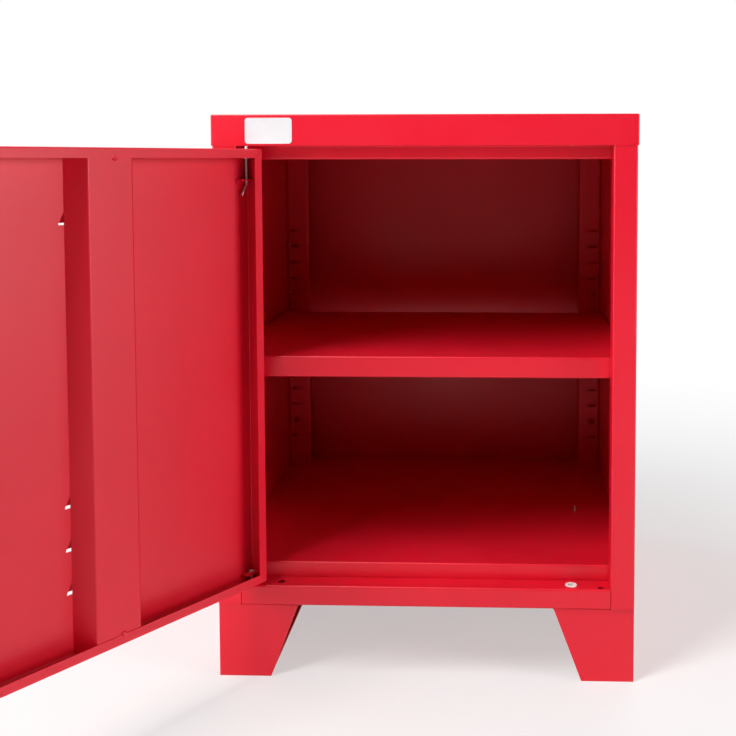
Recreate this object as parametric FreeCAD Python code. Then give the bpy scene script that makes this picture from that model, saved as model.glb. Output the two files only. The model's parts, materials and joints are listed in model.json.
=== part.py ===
"""Steel tool cabinet with one hinged door, an adjustable shelf and a fork-lift base.

PAST is how far each cutter runs past the face it opens.
Everything is drawn with x from the cabinet's left face, y from its front face and z from
the ground, and is moved to the middle of the footprint when it is written out.
The door and all that it carries are drawn closed and then swung open by OPEN_ANGLE.
"""
import FreeCAD
import Part
import math
import os

V = FreeCAD.Vector

# Cabinet
WIDTH = 560.0
DEPTH = 600.0
BASE_HEIGHT = 100.0
BODY_HEIGHT = 660.0
SHEET = 1.2
BEND = 1.6
RELIEF = 1.0
PAST = 10.0
STILE_WIDTH = 32.0
RETURN_DEPTH = 28.0
REAR_FLANGE = 20.0
BOTTOM_FLANGE = 62.0
CAP_DROP = 41.0
CAP_CORNER = 2.0

# Header, bottom rail and floor
STOP_SETBACK = 31.0
STOP_DROP = 18.2
STOP_HEM = 12.0
RAIL_HEIGHT = 27.4
RAIL_FLANGE = 20.0
RAIL_UPSTAND = 16.0
FLOOR_RISE = 22.0
BACK_RECESS = 18.8
STUD_INSET = 61.0
STUD_SETBACK = 268.0
STUD_RADIUS = 2.0
STUD_RISE = 8.0
DIMPLE_INSET = 68.0
DIMPLE_SETBACK = 154.0
DIMPLE_PITCH = 32.0
DIMPLE_RADIUS = 1.8
DIMPLE_RISE = 0.6

# Uprights and shelf
UPRIGHT_SHEET = 1.5
UPRIGHT_FACE = 38.0
UPRIGHT_SETBACK = 62.0
UPRIGHT_RETURN = 30.0
UPRIGHT_LIP = 12.0
UPRIGHT_TOP_LAP = 18.0
SLOT_PITCH = 28.5
SLOT_COUNT = 14
SLOT_WIDTH = 16.0
SLOT_HEIGHT = 5.0
SLOT_FIRST = 54.5
HOLE_STEP = 1
HOLE_RADIUS = 6.0
SHELF_SLOT = 7
SHELF_HEIGHT = 28.7
SHELF_SETBACK = 30.0
SHELF_DEPTH = 444.0
SHELF_SIDE_GAP = 3.0
SHELF_HEM = 15.0
SHELF_RIB_WIDTH = 60.0
SHELF_RIB_DEPTH = 20.0
CLIP_PLATE = 2.0
CLIP_REACH = 60.0
CLIP_PLAY = 0.5

# Base
BASE_SHEET = 2.5
RUNNER_TOP = 108.0
RUNNER_FOOT = 70.0
BASE_SETBACK = 3.0
END_PLATE_EDGE = 1.2
ANCHOR_INSET_X = 30.0
ANCHOR_INSET_Y = 70.0
ANCHOR_RADIUS = 7.0
BOLT_INSET_X = 40.0
BOLT_INSET_Y = 120.0
BOLT_RADIUS = 5.0
BOLT_HEAD = 6.4
BOLT_FLATS = 16.0
NUT_HEIGHT = 8.0
RIVET_RADIUS = 2.0
RIVET_HEAD_RADIUS = 4.0
RIVET_HEAD = 1.2
RIVET_COUNT = 5
RIVET_MARGIN = 60.0
CAP_SCREW_INSET = 90.0

# Label
LABEL_INSET = 44.6
LABEL_WIDTH = 62.0
LABEL_HEIGHT = 34.0
LABEL_THICKNESS = 0.6
LABEL_LIFT = 2.6

# Door
DOOR_SHEET = 1.0
DOOR_THICKNESS = 28.1
DOOR_SIDE_GAP = 4.3
DOOR_TOP_GAP = 4.1
DOOR_BOTTOM_GAP = 5.1
DOOR_CORNER = 2.0
SIDE_LIP = 13.9
END_LIP = 12.0
MITRE_GAP = 0.4
OPEN_ANGLE = 122.3
PIVOT_INSET = 8.0
PIVOT_SETBACK = 6.5
HAT_CROWN = 62.3
HAT_BASE = 90.0
WELD_RADIUS = 3.4
WELD_OFFSET = 6.0
LOUVRE_WIDTH = 106.0
LOUVRE_HEIGHT = 15.5
LOUVRE_SLIT = 2.2
LOUVRE_TAPER = 7.0
LOUVRE_DEPTH = 5.0
LOUVRE_PITCH = 50.2
LOWER_LOUVRES = 3
LOWER_LOUVRE_LIFT = 70.5
TOP_LOUVRE_LIFT = 495.1

# Hinge pins
TOP_PIN_RADIUS = 2.0
BOTTOM_PIN_RADIUS = 2.5
RUNNING_GAP = 0.05
BUSH_HOLE_RADIUS = 4.0
BUSH_FLANGE_RADIUS = 6.0
BUSH_FLANGE = 1.5
BUSH_SPIGOT = 3.0
REST_GAP = 0.1
PIN_RISE = 10.5
BRACKET_SHEET = 1.5
BRACKET_REACH = 14.0
BRACKET_BEHIND = 6.0
BRACKET_LEG = 6.0
TOP_BRACKET_DROP = 40.0
SPRING_LENGTH = 27.0
SPRING_TURNS = 9
SPRING_WIRE_RADIUS = 0.5
SPRING_CLEARANCE = 0.2
COLLAR_HEIGHT = 1.5
COLLAR_RADIUS = 4.0
TAIL_DROP = 5.0
TAIL_BEND = 7.0
TAIL_ANGLE = 32.0
TAIL_LENGTH = 15.0
BOTTOM_BRACKET_LIFT = 11.0
PIN_HEAD = 2.6
PIN_HEAD_RADIUS = 4.0

# Lock
ROD_RADIUS = 4.0
ROD_SETBACK = 15.0
ROD_INSET = 83.5
ROD_CLEARANCE = 0.5
SOCKET_HOLE_RADIUS = 5.5
SOCKET_FLANGE_RADIUS = 7.9
SOCKET_FLANGE = 1.4
SOCKET_DEPTH = 14.0
LOCK_HEIGHT = 290.0
CRANK_RADIUS = 12.0
CRANK_PIN_RADIUS = 3.0
CRANK_PLAY = 0.6
CRANK_HEAD = 1.5
CRANK_HEAD_RADIUS = 4.6
CAM_THICKNESS = 3.0
CAM_FRONT = 9.5
CAM_RIM = 5.5
LINK_THICKNESS = 3.0
LINK_LENGTH = 46.0
LINK_WIDTH = 12.0
EYE_WALL = 3.2
GUIDE_SHEET = 1.5
GUIDE_WIDTH = 26.0
GUIDE_FOOT = 22.0
GUIDE_INSET = 30.0
BARREL_RADIUS = 10.0
SPINDLE_RADIUS = 6.0
NUT_GAP = 1.5
LOCK_NUT_FLATS = 27.0
PLATE_WIDTH = 36.0
PLATE_HEIGHT = 96.0
PLATE_THICKNESS = 2.5
PLATE_CORNER = 6.0
PLATE_SCREW_OFFSET = 38.0
SCREW_RADIUS = 2.0
SCREW_HEAD_RADIUS = 3.8
SCREW_HEAD = 1.8
SCREW_TAIL = 4.0
HUB_RADIUS = 15.0
HUB_LENGTH = 22.0
LEVER_LENGTH = 92.0
LEVER_WIDTH = 18.0
LEVER_THICKNESS = 9.0
LEVER_EDGE = 3.0
CYLINDER_RADIUS = 8.0
CYLINDER_LENGTH = 14.0
CYLINDER_PROUD = 1.5
KEYWAY_WIDTH = 2.0
KEYWAY_LENGTH = 9.0
KEYWAY_DEPTH = 8.0

# Levels and planes worked out from the sizes above
BODY_TOP = BASE_HEIGHT + BODY_HEIGHT
CAP_BOTTOM = BODY_TOP - CAP_DROP
STOP_BOTTOM = CAP_BOTTOM - STOP_DROP
LEDGE = BASE_HEIGHT + RAIL_HEIGHT
FLOOR = LEDGE + FLOOR_RISE
BOTTOM_PANEL_TOP = BASE_HEIGHT + 2 * SHEET
BACK_FACE = DEPTH - SHEET - BACK_RECESS
REAR_BEND = DEPTH - SHEET - BEND
UPRIGHT_FRONT = BACK_FACE - UPRIGHT_SETBACK
SLOT_MIDDLE = WIDTH - SHEET - UPRIGHT_FACE / 2 + (UPRIGHT_FACE - SLOT_WIDTH) / 4
DOOR_LEFT = STILE_WIDTH + DOOR_SIDE_GAP
DOOR_RIGHT = WIDTH - DOOR_LEFT
DOOR_BOTTOM = LEDGE + DOOR_BOTTOM_GAP
DOOR_TOP = CAP_BOTTOM - DOOR_TOP_GAP
DOOR_MIDDLE = (DOOR_LEFT + DOOR_RIGHT) / 2
PIVOT = V(DOOR_LEFT + PIVOT_INSET, PIVOT_SETBACK, 0)
ROD_X = WIDTH - ROD_INSET
LOCK_Z = DOOR_BOTTOM + LOCK_HEIGHT
ROD_TRAVEL = 2 * CRANK_RADIUS * math.sin(math.pi / 4)


def box(x0, x1, y0, y1, z0, z1):
    """Block between two corners."""
    return Part.makeBox(x1 - x0, y1 - y0, z1 - z0, V(x0, y0, z0))


def rod_z(x, y, z0, z1, radius):
    """Round bar standing along z."""
    return Part.makeCylinder(radius, z1 - z0, V(x, y, z0), V(0, 0, 1))


def rod_y(x, z, y0, y1, radius):
    """Round bar lying along y."""
    return Part.makeCylinder(radius, y1 - y0, V(x, y0, z), V(0, 1, 0))


def rod_x(y, z, x0, x1, radius):
    """Round bar lying along x."""
    return Part.makeCylinder(radius, x1 - x0, V(x0, y, z), V(1, 0, 0))


def hexagon(x, y, z0, z1, flats):
    """Hexagonal prism standing along z, given its size across flats."""
    corner = flats / math.sqrt(3)
    angles = [math.radians(60 * i) for i in range(7)]
    points = [V(x + corner * math.cos(a), y + corner * math.sin(a), z0) for a in angles]
    return Part.Face(Part.makePolygon(points)).extrude(V(0, 0, z1 - z0))


def join(*shapes):
    """One solid from pieces that touch or overlap."""
    first, *rest = shapes
    return first.fuse(rest).removeSplitter() if rest else first


def mirrored(shape):
    """The same piece on the other side of the cabinet."""
    return shape.mirror(V(WIDTH / 2, 0, 0), V(1, 0, 0))


def swung(shape):
    """A piece of the door, turned about the hinge pins to where the door stands open."""
    turned = shape.copy()
    turned.rotate(PIVOT, V(0, 0, 1), -OPEN_ANGLE)
    return turned


def fillet_where(shape, radius, test):
    """Round the edges that pass the test."""
    edges = [edge for edge in shape.Edges if test(edge)]
    return shape.makeFillet(radius, edges)


def lies_at(edge, axis, value):
    """True for an edge whose every point has this coordinate along the axis."""
    low, high = {"x": (edge.BoundBox.XMin, edge.BoundBox.XMax),
                 "y": (edge.BoundBox.YMin, edge.BoundBox.YMax),
                 "z": (edge.BoundBox.ZMin, edge.BoundBox.ZMax)}[axis]
    return abs(low - value) < 1e-4 and abs(high - value) < 1e-4


def unit(a, b):
    """Direction from one point in the plane to the next."""
    length = math.hypot(b[0] - a[0], b[1] - a[1])
    return (b[0] - a[0]) / length, (b[1] - a[1]) / length


def folded(path, thickness, bend, axis, start, length, left=True):
    """Sheet folded along a path and extruded along an axis.

    The path runs along one face of the sheet, and the sheet lies on its left or right.
    The bend is the inside radius of every fold. Paths are (x, y) for axis z, (x, z) for
    axis y and (y, z) for axis x.
    """
    side = 1.0 if left else -1.0
    near, far = [], []
    count = len(path)
    for i, point in enumerate(path):
        before = unit(path[i - 1], point) if i else unit(point, path[1])
        after = unit(point, path[i + 1]) if i < count - 1 else before
        normal_in = (-before[1] * side, before[0] * side)
        normal_out = (-after[1] * side, after[0] * side)
        if i in (0, count - 1):
            near.append(("point", point))
            far.append(("point", (point[0] + normal_in[0] * thickness, point[1] + normal_in[1] * thickness)))
            continue
        turn = (before[0] * after[1] - before[1] * after[0]) * side
        outer = turn > 0
        radius = bend + thickness if outer else bend
        cosine = before[0] * after[0] + before[1] * after[1]
        set_back = radius * math.tan(math.acos(max(-1.0, min(1.0, cosine))) / 2)
        toward = 1.0 if outer else -1.0
        first = (point[0] - before[0] * set_back, point[1] - before[1] * set_back)
        centre = (first[0] + normal_in[0] * radius * toward, first[1] + normal_in[1] * radius * toward)
        middle = (-(normal_in[0] + normal_out[0]) * toward, -(normal_in[1] + normal_out[1]) * toward)
        size = math.hypot(*middle)
        middle = (middle[0] / size, middle[1] / size)
        other = radius - thickness * toward
        for face, r in ((near, radius), (far, other)):
            ends = [(centre[0] - n[0] * r * toward, centre[1] - n[1] * r * toward)
                    for n in (normal_in, normal_out)]
            top = (centre[0] + middle[0] * r, centre[1] + middle[1] * r)
            face.append(("arc", ends[0], top, ends[1]))
    place = {"z": lambda p: V(p[0], p[1], start), "y": lambda p: V(p[0], start, p[1]),
             "x": lambda p: V(start, p[0], p[1])}[axis]
    back = [("arc", piece[3], piece[2], piece[1]) if piece[0] == "arc" else piece
            for piece in reversed(far)]
    edges = []
    here = None
    for piece in near + back + near[:1]:
        entry = piece[1]
        if here is not None:
            edges.append(Part.LineSegment(place(here), place(entry)).toShape())
        here = entry
        if piece[0] == "arc":
            edges.append(Part.Arc(place(piece[1]), place(piece[2]), place(piece[3])).toShape())
            here = piece[3]
    direction = {"z": V(0, 0, length), "y": V(0, length, 0), "x": V(length, 0, 0)}[axis]
    return Part.Face(Part.Wire(edges)).extrude(direction)


def slot_level(step):
    """Height of the middle of one of the slots in the uprights."""
    return FLOOR + SLOT_FIRST + step * SLOT_PITCH


SHELF_BOTTOM = slot_level(SHELF_SLOT) + SLOT_HEIGHT / 2
SHELF_TOP = SHELF_BOTTOM + SHELF_HEIGHT


# Carcass

def side_panel():
    """Left side with its front stile, the stile's return, and rear and bottom flanges."""
    path = [(STILE_WIDTH, RETURN_DEPTH), (STILE_WIDTH, 0), (0, 0), (0, DEPTH), (REAR_FLANGE, DEPTH)]
    wall = folded(path, SHEET, BEND, "z", BASE_HEIGHT, BODY_HEIGHT - SHEET, left=False)
    flange = box(SHEET / 2, BOTTOM_FLANGE, RETURN_DEPTH, REAR_BEND, BASE_HEIGHT, BASE_HEIGHT + SHEET)
    panel = join(wall, flange)
    for y in bolt_rows():
        panel = panel.cut(rod_z(BOLT_INSET_X, y, BASE_HEIGHT - PAST, BASE_HEIGHT + PAST, BOLT_RADIUS))
    for z in rivet_levels():
        panel = panel.cut(rod_x(rivet_depth(), z, -PAST, SHEET + PAST, RIVET_RADIUS))
    return panel


def bolt_rows():
    """Places along the depth of the bolts that hold the body on its base."""
    return BOLT_INSET_Y, DEPTH - BOLT_INSET_Y


def rivet_levels():
    """Heights of the rivets along each rear corner."""
    low = BASE_HEIGHT + RIVET_MARGIN
    step = (CAP_BOTTOM - RIVET_MARGIN - low) / (RIVET_COUNT - 1)
    return [low + i * step for i in range(RIVET_COUNT)]


def rivet_depth():
    """How far behind the front face the rear rivets sit."""
    return (BACK_FACE + REAR_BEND) / 2


def back_panel():
    """Recessed back: a shallow pan with flanges that turn to the rear."""
    side, low, high = SHEET, BOTTOM_PANEL_TOP, BODY_TOP - SHEET
    pan = box(side, WIDTH - side, BACK_FACE, REAR_BEND, low, high)
    hollow = box(side + SHEET, WIDTH - side - SHEET, BACK_FACE + SHEET, DEPTH, low + SHEET, high - SHEET)
    pan = pan.cut(hollow)
    for z in rivet_levels():
        pan = pan.cut(rod_x(rivet_depth(), z, -PAST, WIDTH + PAST, RIVET_RADIUS))
    return pan


def back_rivets():
    """Rivets through the side walls into the flanges of the back."""
    rivets = []
    for z in rivet_levels():
        head = rod_x(rivet_depth(), z, -RIVET_HEAD, 0, RIVET_HEAD_RADIUS)
        head = fillet_where(head, RIVET_HEAD * 0.8, lambda edge: lies_at(edge, "x", -RIVET_HEAD))
        shank = rod_x(rivet_depth(), z, 0, 2 * SHEET, RIVET_RADIUS)
        tail = rod_x(rivet_depth(), z, 2 * SHEET, 2 * SHEET + RIVET_HEAD, RIVET_RADIUS * 1.5)
        rivet = join(head, shank, tail)
        rivets += [rivet, mirrored(rivet)]
    return Part.makeCompound(rivets)


def top_cap():
    """Lid with a skirt all round that laps over the stiles, sides and back."""
    out = SHEET
    shell = box(-out, WIDTH + out, -out, DEPTH + out, CAP_BOTTOM, BODY_TOP)
    shell = fillet_where(shell, CAP_CORNER, lambda edge: not lies_at(edge, "z", CAP_BOTTOM))
    shell = shell.cut(box(0, WIDTH, 0, DEPTH, CAP_BOTTOM - PAST, BODY_TOP - SHEET))
    for x in cap_screw_places():
        shell = shell.cut(rod_y(x, cap_screw_level(), DEPTH - SHEET, DEPTH + 2 * SHEET, SCREW_RADIUS))
    return shell


def cap_screw_places():
    """Places across the back of the screws that hold the cap."""
    return CAP_SCREW_INSET, WIDTH / 2, WIDTH - CAP_SCREW_INSET


def cap_screw_level():
    """Height of the cap screws."""
    return CAP_BOTTOM + CAP_DROP / 2


def cap_cleat():
    """Strip across the rear of the body that takes the cap screws."""
    strip = box(REAR_FLANGE, WIDTH - REAR_FLANGE, DEPTH - SHEET, DEPTH, CAP_BOTTOM, BODY_TOP - SHEET)
    for x in cap_screw_places():
        strip = strip.cut(rod_y(x, cap_screw_level(), DEPTH - 2 * SHEET, DEPTH + SHEET, SCREW_RADIUS))
    return strip


def cap_screws():
    """Pan-head screws through the rear skirt of the cap."""
    screws = []
    for x in cap_screw_places():
        head = rod_y(x, cap_screw_level(), DEPTH + SHEET, DEPTH + SHEET + SCREW_HEAD, SCREW_HEAD_RADIUS)
        head = fillet_where(head, SCREW_HEAD / 2, lambda edge: lies_at(edge, "y", DEPTH + SHEET + SCREW_HEAD))
        shank = rod_y(x, cap_screw_level(), DEPTH - 2 * SHEET, DEPTH + SHEET, SCREW_RADIUS)
        screws.append(join(head, shank))
    return Part.makeCompound(screws)


def header_rail():
    """Rail behind the cap's front skirt, with the ledge over the door and the lip that stops it."""
    top = BODY_TOP - SHEET
    path = [(0, top), (0, CAP_BOTTOM), (STOP_SETBACK, CAP_BOTTOM), (STOP_SETBACK, STOP_BOTTOM),
            (STOP_SETBACK + STOP_HEM, STOP_BOTTOM)]
    rail = folded(path, SHEET, BEND, "x", STILE_WIDTH, WIDTH - 2 * STILE_WIDTH)
    return rail.cut(ledge_holes(CAP_BOTTOM - PAST, CAP_BOTTOM + PAST))


def ledge_holes(low, high):
    """Bores for the hinge pin and the lock rod at both sides, so that the door can be rehung."""
    pin = rod_z(PIVOT.x, PIVOT.y, low, high, BUSH_HOLE_RADIUS)
    rod = rod_z(ROD_X, ROD_SETBACK, low, high, SOCKET_HOLE_RADIUS)
    return Part.makeCompound([pin, mirrored(pin), rod, mirrored(rod)])


def bottom_rail():
    """Front rail between the stiles, with the ledge under the door."""
    behind = STOP_SETBACK + SHEET
    path = [(RAIL_FLANGE, BASE_HEIGHT), (0, BASE_HEIGHT), (0, LEDGE), (behind, LEDGE),
            (behind, LEDGE + RAIL_UPSTAND)]
    rail = folded(path, SHEET, BEND, "x", STILE_WIDTH, WIDTH - 2 * STILE_WIDTH, left=False)
    return rail.cut(ledge_holes(LEDGE - PAST, LEDGE + PAST))


def deck(front, back, low, high, side_gap, hem):
    """Folded deck with flanges down on four sides; a hem turns in under the front and rear ones."""
    x0, x1 = SHEET + side_gap, WIDTH - SHEET - side_gap
    path = [(front, low), (front, high), (back, high), (back, low)]
    if hem:
        path = [(front + hem, low)] + path + [(back - hem, low)]
    pieces = [folded(path, SHEET, BEND, "x", x0, x1 - x0, left=False)]
    inset = SHEET + BEND
    for x in (x0, x1 - SHEET):
        pieces.append(box(x, x + SHEET, front + inset, back - inset, low, high - SHEET / 2))
    return join(*pieces)


def floor_panel():
    """Raised floor; its front edge turns down in front of the rail's upstand."""
    panel = deck(STOP_SETBACK, BACK_FACE, BOTTOM_PANEL_TOP, FLOOR, 0.0, 0.0)
    over_ledge = box(STILE_WIDTH - RELIEF, WIDTH - STILE_WIDTH + RELIEF, 0, STOP_SETBACK + SHEET,
                     BOTTOM_PANEL_TOP - PAST, LEDGE + BEND)
    panel = panel.cut(over_ledge)
    return panel.cut(rod_z(WIDTH - STUD_INSET, STUD_SETBACK, FLOOR - PAST, FLOOR + PAST, STUD_RADIUS))


def floor_stud():
    """End of a screw that stands up through the floor at the right."""
    x, y = WIDTH - STUD_INSET, STUD_SETBACK
    tip = FLOOR + STUD_RISE
    shank = rod_z(x, y, FLOOR - 2 * SHEET, tip, STUD_RADIUS)
    shank = shank.makeChamfer(STUD_RADIUS / 3, [edge for edge in shank.Edges if lies_at(edge, "z", tip)])
    return join(shank, rod_z(x, y, FLOOR - 2 * SHEET, FLOOR - SHEET, 2 * STUD_RADIUS))


def floor_dimples():
    """Two low spot-weld pips in the floor, in front of the screw end."""
    pips = []
    top = FLOOR + DIMPLE_RISE
    for step in range(2):
        y = DIMPLE_SETBACK + step * DIMPLE_PITCH
        pip = rod_z(WIDTH - DIMPLE_INSET, y, FLOOR, top, DIMPLE_RADIUS)
        pips.append(fillet_where(pip, DIMPLE_RISE * 0.8, lambda edge: lies_at(edge, "z", top)))
    return Part.makeCompound(pips)


def bottom_panel():
    """Sheet that closes the underside between the front rail and the back."""
    low, high = BASE_HEIGHT + SHEET, BOTTOM_PANEL_TOP
    edge = SHEET + BEND
    panel = box(edge, WIDTH - edge, RETURN_DEPTH, REAR_BEND, low, high)
    for x in (BOLT_INSET_X, WIDTH - BOLT_INSET_X):
        for y in bolt_rows():
            panel = panel.cut(rod_z(x, y, low - PAST, high + PAST, BOLT_RADIUS))
    return panel


def upright_cuts(x, y):
    """Row of slots, and the round hole near the bottom, through an upright's face."""
    cuts = []
    for step in range(SLOT_COUNT):
        z = slot_level(step)
        if step == HOLE_STEP:
            cuts.append(rod_y(x, z, y - PAST, y + PAST, HOLE_RADIUS))
        else:
            cuts.append(box(x - SLOT_WIDTH / 2, x + SLOT_WIDTH / 2, y - PAST, y + PAST,
                            z - SLOT_HEIGHT / 2, z + SLOT_HEIGHT / 2))
    return Part.makeCompound(cuts)


def rear_upright():
    """Right rear upright: its slotted face looks to the front."""
    inner, wall = WIDTH - SHEET - UPRIGHT_FACE, WIDTH - SHEET
    path = [(inner, UPRIGHT_FRONT + UPRIGHT_LIP), (inner, UPRIGHT_FRONT), (wall, UPRIGHT_FRONT),
            (wall, UPRIGHT_FRONT + UPRIGHT_RETURN)]
    height = CAP_BOTTOM + UPRIGHT_TOP_LAP - FLOOR
    channel = folded(path, UPRIGHT_SHEET, BEND, "z", FLOOR, height)
    return channel.cut(upright_cuts(SLOT_MIDDLE, UPRIGHT_FRONT))


def front_upright():
    """Left front upright: it closes the back of the stile, and its slots look to the rear."""
    wall, inner = SHEET, STILE_WIDTH - SHEET
    front = RETURN_DEPTH - UPRIGHT_LIP
    path = [(inner, front), (inner, RETURN_DEPTH), (wall, RETURN_DEPTH), (wall, front)]
    height = CAP_BOTTOM + UPRIGHT_TOP_LAP - BASE_HEIGHT - SHEET
    channel = folded(path, UPRIGHT_SHEET, BEND, "z", BASE_HEIGHT + SHEET, height)
    return channel.cut(upright_cuts((wall + inner) / 2, RETURN_DEPTH))


# Shelf

def shelf():
    """Adjustable shelf."""
    rear = SHELF_SETBACK + SHELF_DEPTH
    return deck(SHELF_SETBACK, rear, SHELF_BOTTOM, SHELF_TOP, SHELF_SIDE_GAP, SHELF_HEM)


def shelf_rib():
    """Channel under the shelf's deck, between its side flanges."""
    middle = SHELF_SETBACK + SHELF_DEPTH / 2
    top = SHELF_TOP - SHEET
    y0, y1 = middle - SHELF_RIB_WIDTH / 2, middle + SHELF_RIB_WIDTH / 2
    low = top - SHELF_RIB_DEPTH
    edge = 2 * SHEET + SHELF_SIDE_GAP
    path = [(y0, top), (y0, low), (y1, low), (y1, top)]
    return folded(path, SHEET, BEND, "x", edge, WIDTH - 2 * edge)


def shelf_clip(x, face, toward):
    """Hook through a slot with a tab that carries the shelf; toward is the way the face looks."""
    level = slot_level(SHELF_SLOT)
    half = SLOT_WIDTH / 2 - CLIP_PLAY

    def block(near, far, low, high):
        y0, y1 = sorted((face + toward * near, face + toward * far))
        return box(x - half, x + half, y0, y1, low, high)

    through = -UPRIGHT_SHEET
    tab = block(0, CLIP_REACH, SHELF_BOTTOM - CLIP_PLATE, SHELF_BOTTOM)
    plate = block(0, CLIP_PLATE, SHELF_BOTTOM - 4 * CLIP_PLATE, SHELF_BOTTOM)
    neck = block(through - CLIP_PLATE, 0, level - SLOT_HEIGHT / 2, level - SLOT_HEIGHT / 2 + CLIP_PLATE)
    hook = block(through - CLIP_PLATE, through, level - SLOT_HEIGHT / 2, level + SLOT_HEIGHT)
    return join(tab, plate, neck, hook)


def shelf_clips():
    """Four clips, one in each upright."""
    rear = shelf_clip(SLOT_MIDDLE, UPRIGHT_FRONT, -1)
    front = shelf_clip(STILE_WIDTH / 2, RETURN_DEPTH, 1)
    return Part.makeCompound([rear, mirrored(rear), front, mirrored(front)])


# Base

def runner():
    """Left base channel, open to the inside, with bores for floor anchors."""
    path = [(RUNNER_FOOT, 0), (0, 0), (0, BASE_HEIGHT), (RUNNER_TOP, BASE_HEIGHT)]
    front = BASE_SETBACK + BASE_SHEET
    channel = folded(path, BASE_SHEET, BASE_SHEET, "y", front, DEPTH - 2 * front, left=False)
    for y in bolt_rows():
        channel = channel.cut(rod_z(BOLT_INSET_X, y, BASE_HEIGHT - PAST, BASE_HEIGHT + PAST, BOLT_RADIUS))
    for y in (ANCHOR_INSET_Y, DEPTH - ANCHOR_INSET_Y):
        channel = channel.cut(rod_z(ANCHOR_INSET_X, y, -PAST, PAST, ANCHOR_RADIUS))
    return channel


def end_plate(y):
    """Plate that closes one end of the left runner; its inner edge slopes to the foot."""
    corners = ((0, 0), (RUNNER_FOOT, 0), (RUNNER_TOP, BASE_HEIGHT), (0, BASE_HEIGHT), (0, 0))
    points = [V(x, y, z) for x, z in corners]
    plate = Part.Face(Part.makePolygon(points)).extrude(V(0, BASE_SHEET, 0))
    outside = y if y < DEPTH / 2 else y + BASE_SHEET
    return fillet_where(plate, END_PLATE_EDGE, lambda edge: lies_at(edge, "y", outside))


def base_bolts():
    """Bolts down through the body's bottom into the runners."""
    bolts = []
    low = BASE_HEIGHT - BASE_SHEET - NUT_HEIGHT - SHEET
    for x in (BOLT_INSET_X, WIDTH - BOLT_INSET_X):
        for y in bolt_rows():
            head = hexagon(x, y, BOTTOM_PANEL_TOP, BOTTOM_PANEL_TOP + BOLT_HEAD, BOLT_FLATS)
            bolts.append(join(head, rod_z(x, y, low, BOTTOM_PANEL_TOP, BOLT_RADIUS)))
    return Part.makeCompound(bolts)


def base_nuts():
    """Nuts under the runners' top flanges."""
    high = BASE_HEIGHT - BASE_SHEET
    nuts = []
    for x in (BOLT_INSET_X, WIDTH - BOLT_INSET_X):
        for y in bolt_rows():
            nut = hexagon(x, y, high - NUT_HEIGHT, high, BOLT_FLATS)
            nuts.append(nut.cut(rod_z(x, y, high - NUT_HEIGHT - PAST, high + PAST, BOLT_RADIUS)))
    return Part.makeCompound(nuts)


def label_plate():
    """Blank label on the cap's front skirt."""
    low = CAP_BOTTOM + LABEL_LIFT
    high = min(low + LABEL_HEIGHT, BODY_TOP - CAP_CORNER)
    return box(LABEL_INSET, LABEL_INSET + LABEL_WIDTH, -SHEET - LABEL_THICKNESS, -SHEET, low, high)


# Bushes and sockets in the two ledges

def hinge_bush_top():
    """Bush for the sprung hinge pin, set in the upper ledge from above; its flange has a flat front."""
    top = CAP_BOTTOM + SHEET
    flange = rod_z(PIVOT.x, PIVOT.y, top, top + BUSH_FLANGE, BUSH_FLANGE_RADIUS)
    flange = flange.cut(box(0, WIDTH, -PAST, SHEET + BEND, CAP_BOTTOM, top + PAST))
    spigot = rod_z(PIVOT.x, PIVOT.y, CAP_BOTTOM, top, BUSH_HOLE_RADIUS)
    bore = rod_z(PIVOT.x, PIVOT.y, CAP_BOTTOM - PAST, CAP_BOTTOM + PAST, TOP_PIN_RADIUS + RUNNING_GAP)
    return join(flange, spigot).cut(bore)


def hinge_bush_bottom():
    """Bush in the lower ledge; the door's bottom flange turns on its top face."""
    top = DOOR_BOTTOM - REST_GAP
    flange = rod_z(PIVOT.x, PIVOT.y, LEDGE, top, BUSH_FLANGE_RADIUS)
    spigot = rod_z(PIVOT.x, PIVOT.y, LEDGE - BUSH_SPIGOT, LEDGE, BUSH_HOLE_RADIUS)
    bore = rod_z(PIVOT.x, PIVOT.y, LEDGE - PAST, top + PAST, BOTTOM_PIN_RADIUS + RUNNING_GAP)
    return join(flange, spigot).cut(bore)


def rod_socket(ledge, way, flange_low):
    """Blind cup for a lock rod; way is +1 where the cup goes up from its ledge."""
    def span(near, far, radius):
        low, high = sorted((ledge + way * near, ledge + way * far))
        return rod_z(ROD_X, ROD_SETBACK, low, high, radius)

    rim = flange_low + SOCKET_FLANGE
    flange = rod_z(ROD_X, ROD_SETBACK, flange_low, rim, SOCKET_FLANGE_RADIUS)
    flange = fillet_where(flange, SOCKET_FLANGE / 2, lambda edge: lies_at(edge, "z", rim))
    cup = span(0, SOCKET_DEPTH, SOCKET_HOLE_RADIUS)
    bore = span(-PAST, SOCKET_DEPTH - SOCKET_FLANGE, ROD_RADIUS + ROD_CLEARANCE)
    return join(flange, cup).cut(bore)


# Door

def louvre_levels():
    """Height of the lower edge of each louvre."""
    lower = [DOOR_BOTTOM + LOWER_LOUVRE_LIFT + i * LOUVRE_PITCH for i in range(LOWER_LOUVRES)]
    return lower + [DOOR_BOTTOM + TOP_LOUVRE_LIFT]


def louvre_outline(low, high, inset, y0, y1):
    """Block with a louvre's outline: the ends lean in above the lower edge."""
    half = LOUVRE_WIDTH / 2 - inset
    narrow = half - LOUVRE_TAPER
    corners = ((-half, low), (half, low), (narrow, high), (-narrow, high), (-half, low))
    points = [V(DOOR_MIDDLE + x, y0, z) for x, z in corners]
    return Part.Face(Part.makePolygon(points)).extrude(V(0, y1 - y0, 0))


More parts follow.
